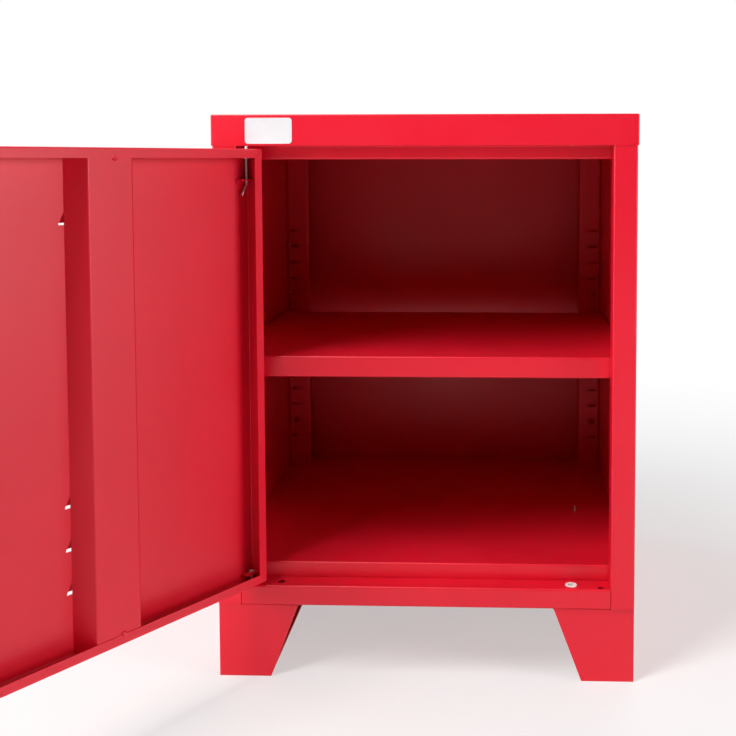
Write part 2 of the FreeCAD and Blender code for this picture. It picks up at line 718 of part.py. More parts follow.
def louvre_wedge(low, high, inset, y):
    """Wedge under a louvre's hood; the inset shrinks it all round to leave the sheet."""
    x, top = DOOR_MIDDLE - LOUVRE_WIDTH / 2, high - inset
    points = [V(x, y, top), V(x, -LOUVRE_DEPTH + inset, low), V(x, y, low), V(x, y, top)]
    wedge = Part.Face(Part.makePolygon(points)).extrude(V(LOUVRE_WIDTH, 0, 0))
    return wedge.common(louvre_outline(low, top, inset, -LOUVRE_DEPTH - PAST, y + PAST))


def door_pan():
    """Door skin with flanges on four sides and lips that turn in behind them."""
    t = DOOR_SHEET
    pan = box(DOOR_LEFT, DOOR_RIGHT, 0, DOOR_THICKNESS, DOOR_BOTTOM, DOOR_TOP)
    pan = pan.makeFillet(DOOR_CORNER, pan.Edges)
    hollow = box(DOOR_LEFT + t, DOOR_RIGHT - t, t, DOOR_THICKNESS - t, DOOR_BOTTOM + t, DOOR_TOP - t)
    pan = pan.cut(hollow.makeFillet(DOOR_CORNER - t, hollow.Edges))
    opening = box(DOOR_LEFT + SIDE_LIP, DOOR_RIGHT - SIDE_LIP, DOOR_THICKNESS - 2 * t, DOOR_THICKNESS + t,
                  DOOR_BOTTOM + END_LIP, DOOR_TOP - END_LIP)
    pan = pan.cut(opening)
    for level in louvre_levels():
        hood_low = level + LOUVRE_SLIT
        top = level + LOUVRE_HEIGHT
        pan = join(pan, louvre_wedge(hood_low, top, 0.0, t / 2))
        pan = pan.cut(louvre_wedge(hood_low, top, t, t / 2))
        half = LOUVRE_WIDTH / 2 - t
        pan = pan.cut(louvre_outline(hood_low, top - t, t, t / 2, 2 * t))
        pan = pan.cut(box(DOOR_MIDDLE - half, DOOR_MIDDLE + half, -LOUVRE_DEPTH - t, 2 * t, level, hood_low))
    pan = pan.cut(mitre_slits())
    for z in (DOOR_BOTTOM, DOOR_TOP):
        radius = BOTTOM_PIN_RADIUS if z == DOOR_BOTTOM else TOP_PIN_RADIUS + RUNNING_GAP
        pan = pan.cut(rod_z(PIVOT.x, PIVOT.y, z - 2 * t, z + 2 * t, radius))
        pan = pan.cut(rod_z(ROD_X, ROD_SETBACK, z - 2 * t, z + 2 * t, ROD_RADIUS + ROD_CLEARANCE))
    pan = pan.cut(rod_y(ROD_X, LOCK_Z, -t, 2 * t, BARREL_RADIUS))
    for z in plate_screw_levels():
        pan = pan.cut(rod_y(ROD_X, z, -t, 2 * t, SCREW_RADIUS))
    return pan


def mitre_slits():
    """Saw-thin gaps where the lips meet at the door's four corners."""
    slits = []
    reach = math.hypot(SIDE_LIP, END_LIP)
    angle = math.degrees(math.atan2(END_LIP, SIDE_LIP))
    for x, z, turn in ((DOOR_LEFT, DOOR_BOTTOM, -angle), (DOOR_RIGHT, DOOR_BOTTOM, angle - 180),
                       (DOOR_LEFT, DOOR_TOP, angle), (DOOR_RIGHT, DOOR_TOP, 180 - angle)):
        slit = Part.makeBox(reach, 2 * DOOR_SHEET, MITRE_GAP,
                            V(x + DOOR_CORNER, DOOR_THICKNESS - DOOR_SHEET, z - MITRE_GAP / 2))
        slit.rotate(V(x, 0, z), V(0, 1, 0), turn)
        slits.append(slit)
    return Part.makeCompound(slits)


def door_stiffener():
    """Hat channel up the middle of the door, from flange to flange."""
    skin = DOOR_SHEET
    crown = DOOR_THICKNESS - DOOR_SHEET
    half_base, half_crown = HAT_BASE / 2, HAT_CROWN / 2
    path = [(DOOR_MIDDLE - half_base, skin), (DOOR_MIDDLE - half_crown, crown),
            (DOOR_MIDDLE + half_crown, crown), (DOOR_MIDDLE + half_base, skin)]
    low, high = DOOR_BOTTOM + DOOR_SHEET, DOOR_TOP - DOOR_SHEET
    hat = folded(path, DOOR_SHEET, BEND, "z", low, high - low, left=False)
    feet_clear = box(DOOR_MIDDLE - HAT_BASE, DOOR_MIDDLE + HAT_BASE, -PAST, skin,
                     low - PAST, high + PAST)
    corner = DOOR_CORNER
    for z0, z1 in ((low, low + corner), (high - corner, high)):
        for y0, y1 in ((-PAST, skin + corner), (crown - corner, crown + PAST)):
            hat = hat.cut(box(DOOR_MIDDLE - HAT_BASE, DOOR_MIDDLE + HAT_BASE, y0, y1, z0, z1))
    return hat.cut(feet_clear)


def stiffener_welds():
    """Weld beads, one at each end, where the lips lap over the stiffener's crown."""
    crown = DOOR_THICKNESS - DOOR_SHEET
    beads = []
    for edge, lip_end in ((DOOR_BOTTOM + END_LIP, DOOR_BOTTOM), (DOOR_TOP - END_LIP, DOOR_TOP)):
        low, high = sorted((edge, lip_end))
        x = DOOR_MIDDLE - WELD_OFFSET
        bead = Part.makeSphere(WELD_RADIUS, V(x, crown, edge))
        bead = bead.cut(box(x - PAST, x + PAST, crown - PAST, crown, edge - PAST, edge + PAST))
        beads.append(bead.cut(box(x - PAST, x + PAST, crown, DOOR_THICKNESS, low, high)))
    return Part.makeCompound(beads)


def hinge_bracket(level, bore):
    """Angle bracket inside the door's hinge edge; the pin passes through its flat leg."""
    x0, x1 = DOOR_LEFT + DOOR_SHEET, PIVOT.x + BRACKET_REACH
    flat = box(x0, x1, DOOR_SHEET, PIVOT.y + BRACKET_BEHIND, level - BRACKET_SHEET, level)
    leg = box(x0, x1, DOOR_SHEET, DOOR_SHEET + BRACKET_SHEET, level - BRACKET_LEG, level)
    bracket = join(flat, leg)
    corner = [edge for edge in bracket.Edges if lies_at(edge, "x", x0) and lies_at(edge, "y", DOOR_SHEET)]
    bracket = bracket.makeFillet(DOOR_CORNER - DOOR_SHEET, corner)
    return bracket.cut(rod_z(PIVOT.x, PIVOT.y, level - PAST, level + PAST, bore))


TOP_BRACKET = DOOR_TOP - TOP_BRACKET_DROP
BOTTOM_BRACKET = DOOR_BOTTOM + BOTTOM_BRACKET_LIFT


def hinge_bracket_top():
    """Bracket that guides the sprung pin and carries its spring."""
    return hinge_bracket(TOP_BRACKET, TOP_PIN_RADIUS + RUNNING_GAP)


def hinge_bracket_bottom():
    """Bracket that holds the head of the bottom pin."""
    return hinge_bracket(BOTTOM_BRACKET, BOTTOM_PIN_RADIUS)


def hinge_pin_top():
    """Sprung pin: a straight bar with a collar over the spring and a bent tail to pull it down."""
    top = V(PIVOT.x, PIVOT.y, DOOR_TOP + PIN_RISE)
    bend_start = V(PIVOT.x, PIVOT.y, TOP_BRACKET - BRACKET_SHEET - TAIL_DROP + TOP_PIN_RADIUS)
    angle = math.radians(TAIL_ANGLE)
    centre = bend_start + V(TAIL_BEND, 0, 0)

    def on_bend(a):
        return centre + V(-TAIL_BEND * math.cos(a), 0, -TAIL_BEND * math.sin(a))

    bend_end = on_bend(angle)
    tail_end = bend_end + V(math.sin(angle), 0, -math.cos(angle)) * TAIL_LENGTH
    path = Part.Wire([Part.LineSegment(top, bend_start).toShape(),
                      Part.Arc(bend_start, on_bend(angle / 2), bend_end).toShape(),
                      Part.LineSegment(bend_end, tail_end).toShape()])
    section = Part.Wire([Part.makeCircle(TOP_PIN_RADIUS, top, V(0, 0, 1))])
    bar = path.makePipeShell([section], True, False)
    collar_low = TOP_BRACKET + SPRING_LENGTH
    collar = rod_z(PIVOT.x, PIVOT.y, collar_low, collar_low + COLLAR_HEIGHT, COLLAR_RADIUS)
    return join(bar, collar)


def arc_to(start, end, knee):
    """Arc between two points that touches both lines to the knee."""
    middle = (start + end) / 2
    chord = end - start
    half = chord.Length / 2
    rise = (knee - middle).Length
    angle = math.atan2(rise, half)
    top = middle + (knee - middle) * (math.tan(angle / 2) / math.tan(angle))
    return Part.Arc(start, top, end).toShape()


def coil_wire(centre, radius, low, pitch, turns):
    """Helix drawn as pairs of arcs, one pair to each quarter turn."""
    def point(a):
        rise = V(radius * math.cos(a), radius * math.sin(a), pitch * a / (2 * math.pi))
        return V(centre.x, centre.y, low) + rise

    def tangent(a):
        way = V(-radius * math.sin(a), radius * math.cos(a), pitch / (2 * math.pi))
        return way / way.Length

    edges = []
    for i in range(4 * turns):
        a, b = i * math.pi / 2, (i + 1) * math.pi / 2
        p, q, t, u = point(a), point(b), tangent(a), tangent(b)
        gap = q - p
        along = gap.dot(t + u)
        square = (t + u).dot(t + u)
        reach = (-along + math.sqrt(along * along + (4 - square) * gap.dot(gap))) / (4 - square)
        first, second = p + t * reach, q - u * reach
        meet = (first + second) / 2
        edges += [arc_to(p, meet, first), arc_to(meet, q, second)]
    return Part.Wire(edges), point(0), tangent(0)


def hinge_spring():
    """Open coil that holds the top pin up in its bush."""
    radius = TOP_PIN_RADIUS + SPRING_CLEARANCE + SPRING_WIRE_RADIUS
    pitch = (SPRING_LENGTH - 2 * SPRING_WIRE_RADIUS) / SPRING_TURNS
    low = TOP_BRACKET + SPRING_WIRE_RADIUS
    path, start, way = coil_wire(PIVOT, radius, low, pitch, SPRING_TURNS)
    section = Part.Wire([Part.makeCircle(SPRING_WIRE_RADIUS, start, way)])
    coil = path.makePipeShell([section], True, False)
    points = path.discretize(Number=40 * SPRING_TURNS)
    gap = min((points[i] - points[j]).Length for i in range(len(points))
              for j in range(i + 20, min(i + 60, len(points)))) - 2 * SPRING_WIRE_RADIUS
    print("hinge spring: least gap between turns %.2f mm" % gap)
    return coil


def hinge_pin_bottom():
    """Fixed pin, headed above its bracket and standing in the lower bush."""
    shank = rod_z(PIVOT.x, PIVOT.y, LEDGE - BUSH_SPIGOT, BOTTOM_BRACKET, BOTTOM_PIN_RADIUS)
    head = rod_z(PIVOT.x, PIVOT.y, BOTTOM_BRACKET, BOTTOM_BRACKET + PIN_HEAD, PIN_HEAD_RADIUS)
    head = fillet_where(head, PIN_HEAD / 3, lambda edge: lies_at(edge, "z", BOTTOM_BRACKET + PIN_HEAD))
    return join(shank, head)


# Lock and handle

def crank_points():
    """Where the two crank pins stand while the rods are drawn in."""
    offset = CRANK_RADIUS * math.sin(math.pi / 4)
    return (ROD_X + offset, LOCK_Z - offset), (ROD_X - offset, LOCK_Z + offset)


def cam_plate():
    """Plate on the end of the spindle with the two crank pins."""
    back = CAM_FRONT + CAM_THICKNESS
    outer = CRANK_RADIUS + CAM_RIM
    plate = rod_y(ROD_X, LOCK_Z, CAM_FRONT, back, outer)
    plate = plate.cut(rod_y(ROD_X, LOCK_Z, CAM_FRONT - PAST, back + PAST, SPINDLE_RADIUS))
    link_back = back + CRANK_PLAY + LINK_THICKNESS
    for x, z in crank_points():
        pin = rod_y(x, z, back - CAM_THICKNESS / 2, link_back + CRANK_PLAY, CRANK_PIN_RADIUS)
        head = rod_y(x, z, link_back + CRANK_PLAY, link_back + CRANK_PLAY + CRANK_HEAD, CRANK_HEAD_RADIUS)
        plate = join(plate, pin, head)
    return plate


def lock_rod(way):
    """Lock rod with a flat link to its crank pin; way is +1 for the upper rod."""
    crank = crank_points()[0] if way > 0 else crank_points()[1]
    front = CAM_FRONT + CAM_THICKNESS + CRANK_PLAY
    slot_half = CRANK_PIN_RADIUS + CRANK_PLAY
    near = CRANK_RADIUS * math.sin(math.pi / 4) - slot_half
    far = CRANK_RADIUS + slot_half

    def plate(x0, x1, z0, z1):
        left, right = sorted((ROD_X + way * x0, ROD_X + way * x1))
        low, high = sorted((z0, z1))
        return box(left, right, front, front + LINK_THICKNESS, low, high)

    end = LOCK_Z + way * (LINK_LENGTH - ROD_TRAVEL / 2)
    half_eye = slot_half + EYE_WALL
    side = far + EYE_WALL
    eye = plate(near - EYE_WALL, side, crank[1] - half_eye, crank[1] + half_eye)
    slot = plate(near, far, crank[1] - slot_half, crank[1] + slot_half)
    arm = plate(side - LINK_WIDTH, side, crank[1], end)
    foot = plate(-LINK_WIDTH / 2, side, end - way * LINK_WIDTH, end)
    tip = DOOR_TOP - DOOR_SHEET if way > 0 else DOOR_BOTTOM + DOOR_SHEET
    low, high = sorted((end - way * LINK_WIDTH / 2, tip))
    bar = rod_z(ROD_X, ROD_SETBACK, low, high, ROD_RADIUS)
    bar = bar.makeChamfer(ROD_RADIUS / 4, [edge for edge in bar.Edges if lies_at(edge, "z", tip)])
    return join(eye, arm, foot, bar).cut(slot)


def rod_guide(level):
    """Angle bracket on the door skin that guides a lock rod."""
    x0, x1 = ROD_X - GUIDE_WIDTH / 2, ROD_X + GUIDE_WIDTH / 2
    reach = ROD_SETBACK + 2 * ROD_RADIUS
    flat = box(x0, x1, DOOR_SHEET, reach, level, level + GUIDE_SHEET)
    foot = box(x0, x1, DOOR_SHEET, DOOR_SHEET + GUIDE_SHEET, level, level + GUIDE_FOOT)
    bore = rod_z(ROD_X, ROD_SETBACK, level - PAST, level + GUIDE_SHEET + PAST, ROD_RADIUS + RUNNING_GAP)
    return join(flat, foot).cut(bore)


def plate_screw_levels():
    """Heights of the handle plate's two screws."""
    return LOCK_Z - PLATE_SCREW_OFFSET, LOCK_Z + PLATE_SCREW_OFFSET


def handle_plate():
    """Plate on the outside of the door with the barrel that the spindle turns in."""
    half = PLATE_WIDTH / 2
    low = LOCK_Z - PLATE_HEIGHT / 2
    plate = box(ROD_X - half, ROD_X + half, -PLATE_THICKNESS, 0, low, low + PLATE_HEIGHT)
    plate = fillet_where(plate, PLATE_CORNER, lambda edge: edge.BoundBox.YLength > PLATE_THICKNESS / 2)
    barrel = rod_y(ROD_X, LOCK_Z, -PLATE_THICKNESS, CAM_FRONT - NUT_GAP, BARREL_RADIUS)
    plate = join(plate, barrel)
    plate = plate.cut(rod_y(ROD_X, LOCK_Z, -PAST, CAM_FRONT + PAST, SPINDLE_RADIUS + RUNNING_GAP))
    for z in plate_screw_levels():
        plate = plate.cut(rod_y(ROD_X, z, -PAST, PAST, SCREW_RADIUS))
    return plate


def lock_nut():
    """Nut on the barrel, inside the door."""
    low, high = DOOR_SHEET, CAM_FRONT - NUT_GAP
    nut = hexagon(0, 0, low, high, LOCK_NUT_FLATS)
    nut.rotate(V(0, 0, 0), V(1, 0, 0), -90)
    nut.translate(V(ROD_X, 0, LOCK_Z))
    return nut.cut(rod_y(ROD_X, LOCK_Z, low - PAST, high + PAST, BARREL_RADIUS))


def plate_screws():
    """Two screws through the handle plate and the door skin."""
    screws = []
    for z in plate_screw_levels():
        head = rod_y(ROD_X, z, -PLATE_THICKNESS - SCREW_HEAD, -PLATE_THICKNESS, SCREW_HEAD_RADIUS)
        rim = -PLATE_THICKNESS - SCREW_HEAD
        head = fillet_where(head, SCREW_HEAD / 2, lambda edge: lies_at(edge, "y", rim))
        shank = rod_y(ROD_X, z, -PLATE_THICKNESS, DOOR_SHEET + SCREW_TAIL, SCREW_RADIUS)
        screws.append(join(head, shank))
    return Part.makeCompound(screws)


def handle():
    """Lever, with its hub and spindle; it points to the hinge while the door is unlocked."""
    face = -PLATE_THICKNESS - REST_GAP
    outer = face - HUB_LENGTH
    hub = rod_y(ROD_X, LOCK_Z, outer, face, HUB_RADIUS)
    lever = box(ROD_X - LEVER_LENGTH, ROD_X, outer, outer + LEVER_THICKNESS,
                LOCK_Z - LEVER_WIDTH / 2, LOCK_Z + LEVER_WIDTH / 2)
    lever = lever.makeFillet(LEVER_EDGE, [e for e in lever.Edges if not lies_at(e, "x", ROD_X)])
    hub = fillet_where(hub, LEVER_EDGE / 2, lambda edge: lies_at(edge, "y", outer))
    spindle = rod_y(ROD_X, LOCK_Z, face - BARREL_RADIUS / 2, CAM_FRONT + CAM_THICKNESS, SPINDLE_RADIUS)
    bore = rod_y(ROD_X, LOCK_Z, outer - PAST, outer + CYLINDER_LENGTH, CYLINDER_RADIUS + RUNNING_GAP)
    return join(hub, lever, spindle).cut(bore)


def lock_cylinder():
    """Key cylinder in the face of the handle's hub."""
    outer = -PLATE_THICKNESS - REST_GAP - HUB_LENGTH
    low = outer - CYLINDER_PROUD
    plug = rod_y(ROD_X, LOCK_Z, low, outer + CYLINDER_LENGTH - REST_GAP, CYLINDER_RADIUS)
    plug = fillet_where(plug, CYLINDER_PROUD / 2, lambda edge: lies_at(edge, "y", low))
    keyway = box(ROD_X - KEYWAY_WIDTH / 2, ROD_X + KEYWAY_WIDTH / 2, low - PAST, low + KEYWAY_DEPTH,
                 LOCK_Z - KEYWAY_LENGTH / 2, LOCK_Z + KEYWAY_LENGTH / 2)
    return plug.cut(keyway)


def cabinet_pieces():
    """Every piece that stands still, and the shelf."""
    left_front, left_rear = end_plate(BASE_SETBACK), end_plate(DEPTH - BASE_SETBACK - BASE_SHEET)
    return {
        "side_left": side_panel(), "side_right": mirrored(side_panel()),
        "back_panel": back_panel(), "back_rivets": back_rivets(),
        "top_cap": top_cap(), "cap_cleat": cap_cleat(), "cap_screws": cap_screws(),
        "header_rail": header_rail(), "bottom_rail": bottom_rail(),
        "floor_panel": floor_panel(), "bottom_panel": bottom_panel(),
        "floor_stud": floor_stud(), "floor_dimples": floor_dimples(),
        "upright_rear_right": rear_upright(), "upright_rear_left": mirrored(rear_upright()),
        "upright_front_left": front_upright(), "upright_front_right": mirrored(front_upright()),
        "shelf_clips": shelf_clips(), "label_plate": label_plate(),
        "runner_left": runner(), "runner_right": mirrored(runner()),
        "end_plate_front_left": left_front, "end_plate_front_right": mirrored(left_front),
        "end_plate_rear_left": left_rear, "end_plate_rear_right": mirrored(left_rear),
        "base_bolts": base_bolts(), "base_nuts": base_nuts(),
        "hinge_bush_top": hinge_bush_top(), "hinge_bush_bottom": hinge_bush_bottom(),
        "rod_socket_top": rod_socket(CAP_BOTTOM, 1, CAP_BOTTOM + SHEET),
        "rod_socket_bottom": rod_socket(LEDGE, -1, LEDGE),
        "shelf": shelf(), "shelf_rib": shelf_rib(),
    }


def door_pieces():
    """Every piece that swings with the door, drawn closed."""
    guide_top = DOOR_TOP - GUIDE_INSET - GUIDE_FOOT
    return {
        "door_pan": door_pan(), "door_stiffener": door_stiffener(), "stiffener_welds": stiffener_welds(),
        "hinge_bracket_top": hinge_bracket_top(), "hinge_bracket_bottom": hinge_bracket_bottom(),
        "hinge_pin_top": hinge_pin_top(), "hinge_spring": hinge_spring(),
        "hinge_pin_bottom": hinge_pin_bottom(),
        "handle_plate": handle_plate(), "lock_nut": lock_nut(), "plate_screws": plate_screws(),
        "handle": handle(), "cam_plate": cam_plate(), "lock_cylinder": lock_cylinder(),
        "lock_rod_upper": lock_rod(1), "lock_rod_lower": lock_rod(-1),
        "rod_guide_upper": rod_guide(guide_top), "rod_guide_lower": rod_guide(DOOR_BOTTOM + GUIDE_INSET),
    }


def main():
    """Write one file for each piece."""
    os.makedirs("parts", exist_ok=True)
    pieces = cabinet_pieces()
    pieces.update({name: swung(shape) for name, shape in door_pieces().items()})
    for name, shape in pieces.items():
        placed = shape.copy()
        placed.translate(V(-WIDTH / 2, -DEPTH / 2, 0))
        if not placed.isValid():
            print("not valid:", name)
        placed.exportStep("parts/%s.step" % name)
    print(len(pieces), "pieces written")


main()
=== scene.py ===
"""Looks of a red steel tool cabinet whose louvred door stands open.

The sheet-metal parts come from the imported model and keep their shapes. This file gives every
part its finish, replaces a few small fittings with finer ones, and sets the studio around them.
Lengths are in metres, with the ground at z = 0 and the front of the cabinet towards -y.
"""
import json
import logging
import math
from collections.abc import Iterable
from dataclasses import dataclass, field
from enum import Enum

import bmesh
import bpy
from mathutils import Matrix, Vector

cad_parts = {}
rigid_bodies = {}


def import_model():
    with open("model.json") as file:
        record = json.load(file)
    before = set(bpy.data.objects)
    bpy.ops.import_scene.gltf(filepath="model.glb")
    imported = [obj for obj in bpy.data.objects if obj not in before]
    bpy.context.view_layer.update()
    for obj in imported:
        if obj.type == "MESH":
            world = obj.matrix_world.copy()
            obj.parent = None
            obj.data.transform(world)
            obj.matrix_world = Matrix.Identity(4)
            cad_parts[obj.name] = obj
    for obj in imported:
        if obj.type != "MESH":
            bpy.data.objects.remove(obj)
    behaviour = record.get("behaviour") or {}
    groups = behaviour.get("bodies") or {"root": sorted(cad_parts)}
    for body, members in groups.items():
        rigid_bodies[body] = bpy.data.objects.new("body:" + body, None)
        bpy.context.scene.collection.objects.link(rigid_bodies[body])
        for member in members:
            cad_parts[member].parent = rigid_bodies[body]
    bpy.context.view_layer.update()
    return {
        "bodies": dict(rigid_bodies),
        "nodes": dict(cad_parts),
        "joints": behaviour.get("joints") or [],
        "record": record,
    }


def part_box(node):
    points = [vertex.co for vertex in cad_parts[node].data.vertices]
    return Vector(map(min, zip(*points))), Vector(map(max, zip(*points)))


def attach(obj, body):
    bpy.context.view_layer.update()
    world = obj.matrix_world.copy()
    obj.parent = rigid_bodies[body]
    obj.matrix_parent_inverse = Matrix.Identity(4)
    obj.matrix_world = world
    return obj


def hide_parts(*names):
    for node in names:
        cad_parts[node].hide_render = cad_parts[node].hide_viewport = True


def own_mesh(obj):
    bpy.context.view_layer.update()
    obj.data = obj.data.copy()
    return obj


LOG = logging.getLogger("cabinet")

# Lengths that differ by less than this count as equal.
NEAR = 1e-5
# Vertices closer than this become one.
MERGE_DISTANCE = 1e-7
# Edges that turn by more than this are shaded sharp.
SHARP_ANGLE = math.radians(35.0)
# Edges of the lever that turn by more than this are rounded.
RIM_ANGLE = math.radians(50.0)
# Half the angle between two corners of a hexagon.
HEXAGON_TURN = math.radians(30.0)
# A face whose normal has a lower y than this is a front face.
FACES_FRONT = -0.9

# Roughness of every clear top layer.
COAT_ROUGHNESS = 0.12
# How much finer the patches in the gloss are than those in the colour.
GLOSS_PATCHES = 2.6
# Scale of the broad waves in a grain, as a share of the grain's own.
BROAD_WAVES = 0.3
# Noise values between which a cloud goes from its low to its high end.
CLOUD_BAND = (0.34, 0.66)
DUST_COLOUR = (0.55, 0.50, 0.46, 1.0)
WHITE = (1.0, 1.0, 1.0, 1.0)
# Height of the surface normal where dust starts to lie, and where it lies fully.
DUST_SLOPE = (0.6, 1.0)
# Noise values between which the dust goes from thin to full.
DUST_BAND = (0.35, 0.75)
# Cover of the thin and of the full dust.
DUST_COVER = (0.2, 1.0)


class Slot(Enum):
    """Material slots of the record that this file dresses."""

    PAINT = "red_paint"
    ZINC = "zinc_steel"
    SPRING = "spring_steel"
    NYLON = "white_nylon"
    LABEL = "label_white"
    PLASTIC = "black_plastic"
    CHROME = "chromed_lock"


class Body(Enum):
    """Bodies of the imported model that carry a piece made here."""

    CABINET = "cabinet"
    DOOR = "door"
    HANDLE = "handle"
    KEY = "key_cylinder"


class Effect(Enum):
    """Shader node groups that every finish shares."""

    GRAIN = "fine_grain"
    CLOUD = "soft_cloud"
    DUST = "settled_dust"


class Arithmetic(Enum):
    """What a Math node does with its two values."""

    PRODUCT = "MULTIPLY"
    LARGER = "MAXIMUM"


def new_group(effect: Effect, inputs: dict[str, float],
              outputs: dict[str, str]) -> bpy.types.NodeTree:
    """Start a shader node group with plain number inputs.

    Args:
        effect: Which group to make.
        inputs: Default value of each number input.
        outputs: Socket type of each output.

    Returns:
        The new group with its input and output nodes in place.
    """
    tree = bpy.data.node_groups.new(effect.value, "ShaderNodeTree")
    for name, value in inputs.items():
        socket = tree.interface.new_socket(name=name, in_out="INPUT",
                                           socket_type="NodeSocketFloat")
        socket.default_value = value
    for name, kind in outputs.items():
        tree.interface.new_socket(name=name, in_out="OUTPUT", socket_type=kind)
    tree.nodes.new("NodeGroupInput").name = "in"
    tree.nodes.new("NodeGroupOutput").name = "out"
    return tree


def feed(tree: bpy.types.NodeTree, value: bpy.types.NodeSocket | float,
         socket: bpy.types.NodeSocket) -> None:
    """Give a socket its value.

    Args:
        tree: Node tree that the socket is in.
        value: Output to link, or a plain number to set.
        socket: Input that takes it.
    """
    if isinstance(value, bpy.types.NodeSocket):
        tree.links.new(value, socket)
    else:
        socket.default_value = value


def combined(tree: bpy.types.NodeTree, task: Arithmetic, first: bpy.types.NodeSocket,
             second: bpy.types.NodeSocket | float) -> bpy.types.NodeSocket:
    """Add a Math node on two values.

    Args:
        tree: Node tree to add to.
        task: What the node does.
        first: First value.
        second: Second value.

    Returns:
        The node's output.
    """
    node = tree.nodes.new("ShaderNodeMath")
    node.operation = task.value
    feed(tree, first, node.inputs[0])
    feed(tree, second, node.inputs[1])
    return node.outputs[0]


def object_noise(tree: bpy.types.NodeTree, scale: bpy.types.NodeSocket, detail: float,
                 roughness: float) -> bpy.types.NodeSocket:
    """Add a noise texture that reads Object coordinates.

    Args:
        tree: Node tree to add to.
        scale: Output that gives the scale.
        detail: Number of octaves.
        roughness: How much the finer octaves count.

    Returns:
        The noise as a number.
    """
    place = tree.nodes.new("ShaderNodeTexCoord")
    noise = tree.nodes.new("ShaderNodeTexNoise")
    noise.inputs["Detail"].default_value = detail
    noise.inputs["Roughness"].default_value = roughness
    tree.links.new(place.outputs["Object"], noise.inputs["Vector"])
    tree.links.new(scale, noise.inputs["Scale"])
    return noise.outputs["Fac"]


def mapped(tree: bpy.types.NodeTree, value: bpy.types.NodeSocket, source: tuple[float, float],
           target: tuple[bpy.types.NodeSocket | float, ...]) -> bpy.types.NodeSocket:
    """Add a Map Range node.

    Args:
        tree: Node tree to add to.
        value: Output to map.
        source: Lowest and highest input.
        target: What they become, as two numbers or two outputs.

    Returns:
        The mapped value.
    """
    node = tree.nodes.new("ShaderNodeMapRange")
    node.inputs["From Min"].default_value, node.inputs["From Max"].default_value = source
    feed(tree, target[0], node.inputs["To Min"])
    feed(tree, target[1], node.inputs["To Max"])
    tree.links.new(value, node.inputs["Value"])
    return node.outputs["Result"]


def build_grain() -> None:
    """Make the group for the fine unevenness of a sprayed, moulded or rolled surface."""
    tree = new_group(Effect.GRAIN, {"Scale": 400.0, "Wave": 0.6}, {"Height": "NodeSocketFloat"})
    given = tree.nodes["in"].outputs
    broad_scale = combined(tree, Arithmetic.PRODUCT, given["Scale"], BROAD_WAVES)
    fine = object_noise(tree, given["Scale"], detail=2.0, roughness=0.5)
    broad = object_noise(tree, broad_scale, detail=1.0, roughness=0.4)
    height = blended(tree, given["Wave"], fine, broad)
    tree.links.new(height, tree.nodes["out"].inputs["Height"])


def build_cloud() -> None:
    """Make the group for a slow change over a surface, between two values."""
    tree = new_group(Effect.CLOUD, {"Scale": 6.0, "Low": 0.0, "High": 1.0},
                     {"Value": "NodeSocketFloat"})
    given = tree.nodes["in"].outputs
    noise = object_noise(tree, given["Scale"], detail=3.0, roughness=0.55)
    spread = mapped(tree, noise, CLOUD_BAND, (given["Low"], given["High"]))
    tree.links.new(spread, tree.nodes["out"].inputs["Value"])


def build_dust() -> None:
    """Make the group that masks the dust on level surfaces, with gaps in it."""
    tree = new_group(Effect.DUST, {"Amount": 0.1, "Scale": 40.0}, {"Mask": "NodeSocketFloat"})
    given = tree.nodes["in"].outputs
    shape = tree.nodes.new("ShaderNodeNewGeometry")
    split = tree.nodes.new("ShaderNodeSeparateXYZ")
    tree.links.new(shape.outputs["Normal"], split.inputs["Vector"])
    level = mapped(tree, split.outputs["Z"], DUST_SLOPE, (0.0, 1.0))
    noise = object_noise(tree, given["Scale"], detail=5.0, roughness=0.6)
    patches = mapped(tree, noise, DUST_BAND, DUST_COVER)
    lying = combined(tree, Arithmetic.PRODUCT, level, patches)
    mask = combined(tree, Arithmetic.PRODUCT, lying, given["Amount"])
    tree.links.new(mask, tree.nodes["out"].inputs["Mask"])


def placed_effect(tree: bpy.types.NodeTree, effect: Effect,
                  values: dict[str, float]) -> bpy.types.Node:
    """Place a shared node group.

    Args:
        tree: Node tree to add to.
        effect: Which group to place.
        values: Numbers to set on its inputs; the others keep their default.

    Returns:
        The group's node.
    """
    node = tree.nodes.new("ShaderNodeGroup")
    node.node_tree = bpy.data.node_groups[effect.value]
    for name, value in values.items():
        node.inputs[name].default_value = value
    return node


def blended(tree: bpy.types.NodeTree, mask: bpy.types.NodeSocket, usual: bpy.types.NodeSocket,
            masked: bpy.types.NodeSocket | float) -> bpy.types.NodeSocket:
    """Add a Mix node between two numbers.

    Args:
        tree: Node tree to add to.
        mask: Where the second number holds.
        usual: Number elsewhere.
        masked: Number under the mask.

    Returns:
        The blended number.
    """
    mix = tree.nodes.new("ShaderNodeMix")
    tree.links.new(mask, mix.inputs["Factor"])
    tree.links.new(usual, mix.inputs["A"])
    feed(tree, masked, mix.inputs["B"])
    return mix.outputs["Result"]


def background_rays(tree: bpy.types.NodeTree) -> bpy.types.NodeSocket:
    """Add a mask of the camera, glossy and transmission rays, which see the background.

    Args:
        tree: Node tree to add to.

    Returns:
        1 for those rays and 0 for all others.
    """
    rays = tree.nodes.new("ShaderNodeLightPath").outputs
    direct = combined(tree, Arithmetic.LARGER, rays["Is Camera Ray"], rays["Is Glossy Ray"])
    return combined(tree, Arithmetic.LARGER, direct, rays["Is Transmission Ray"])


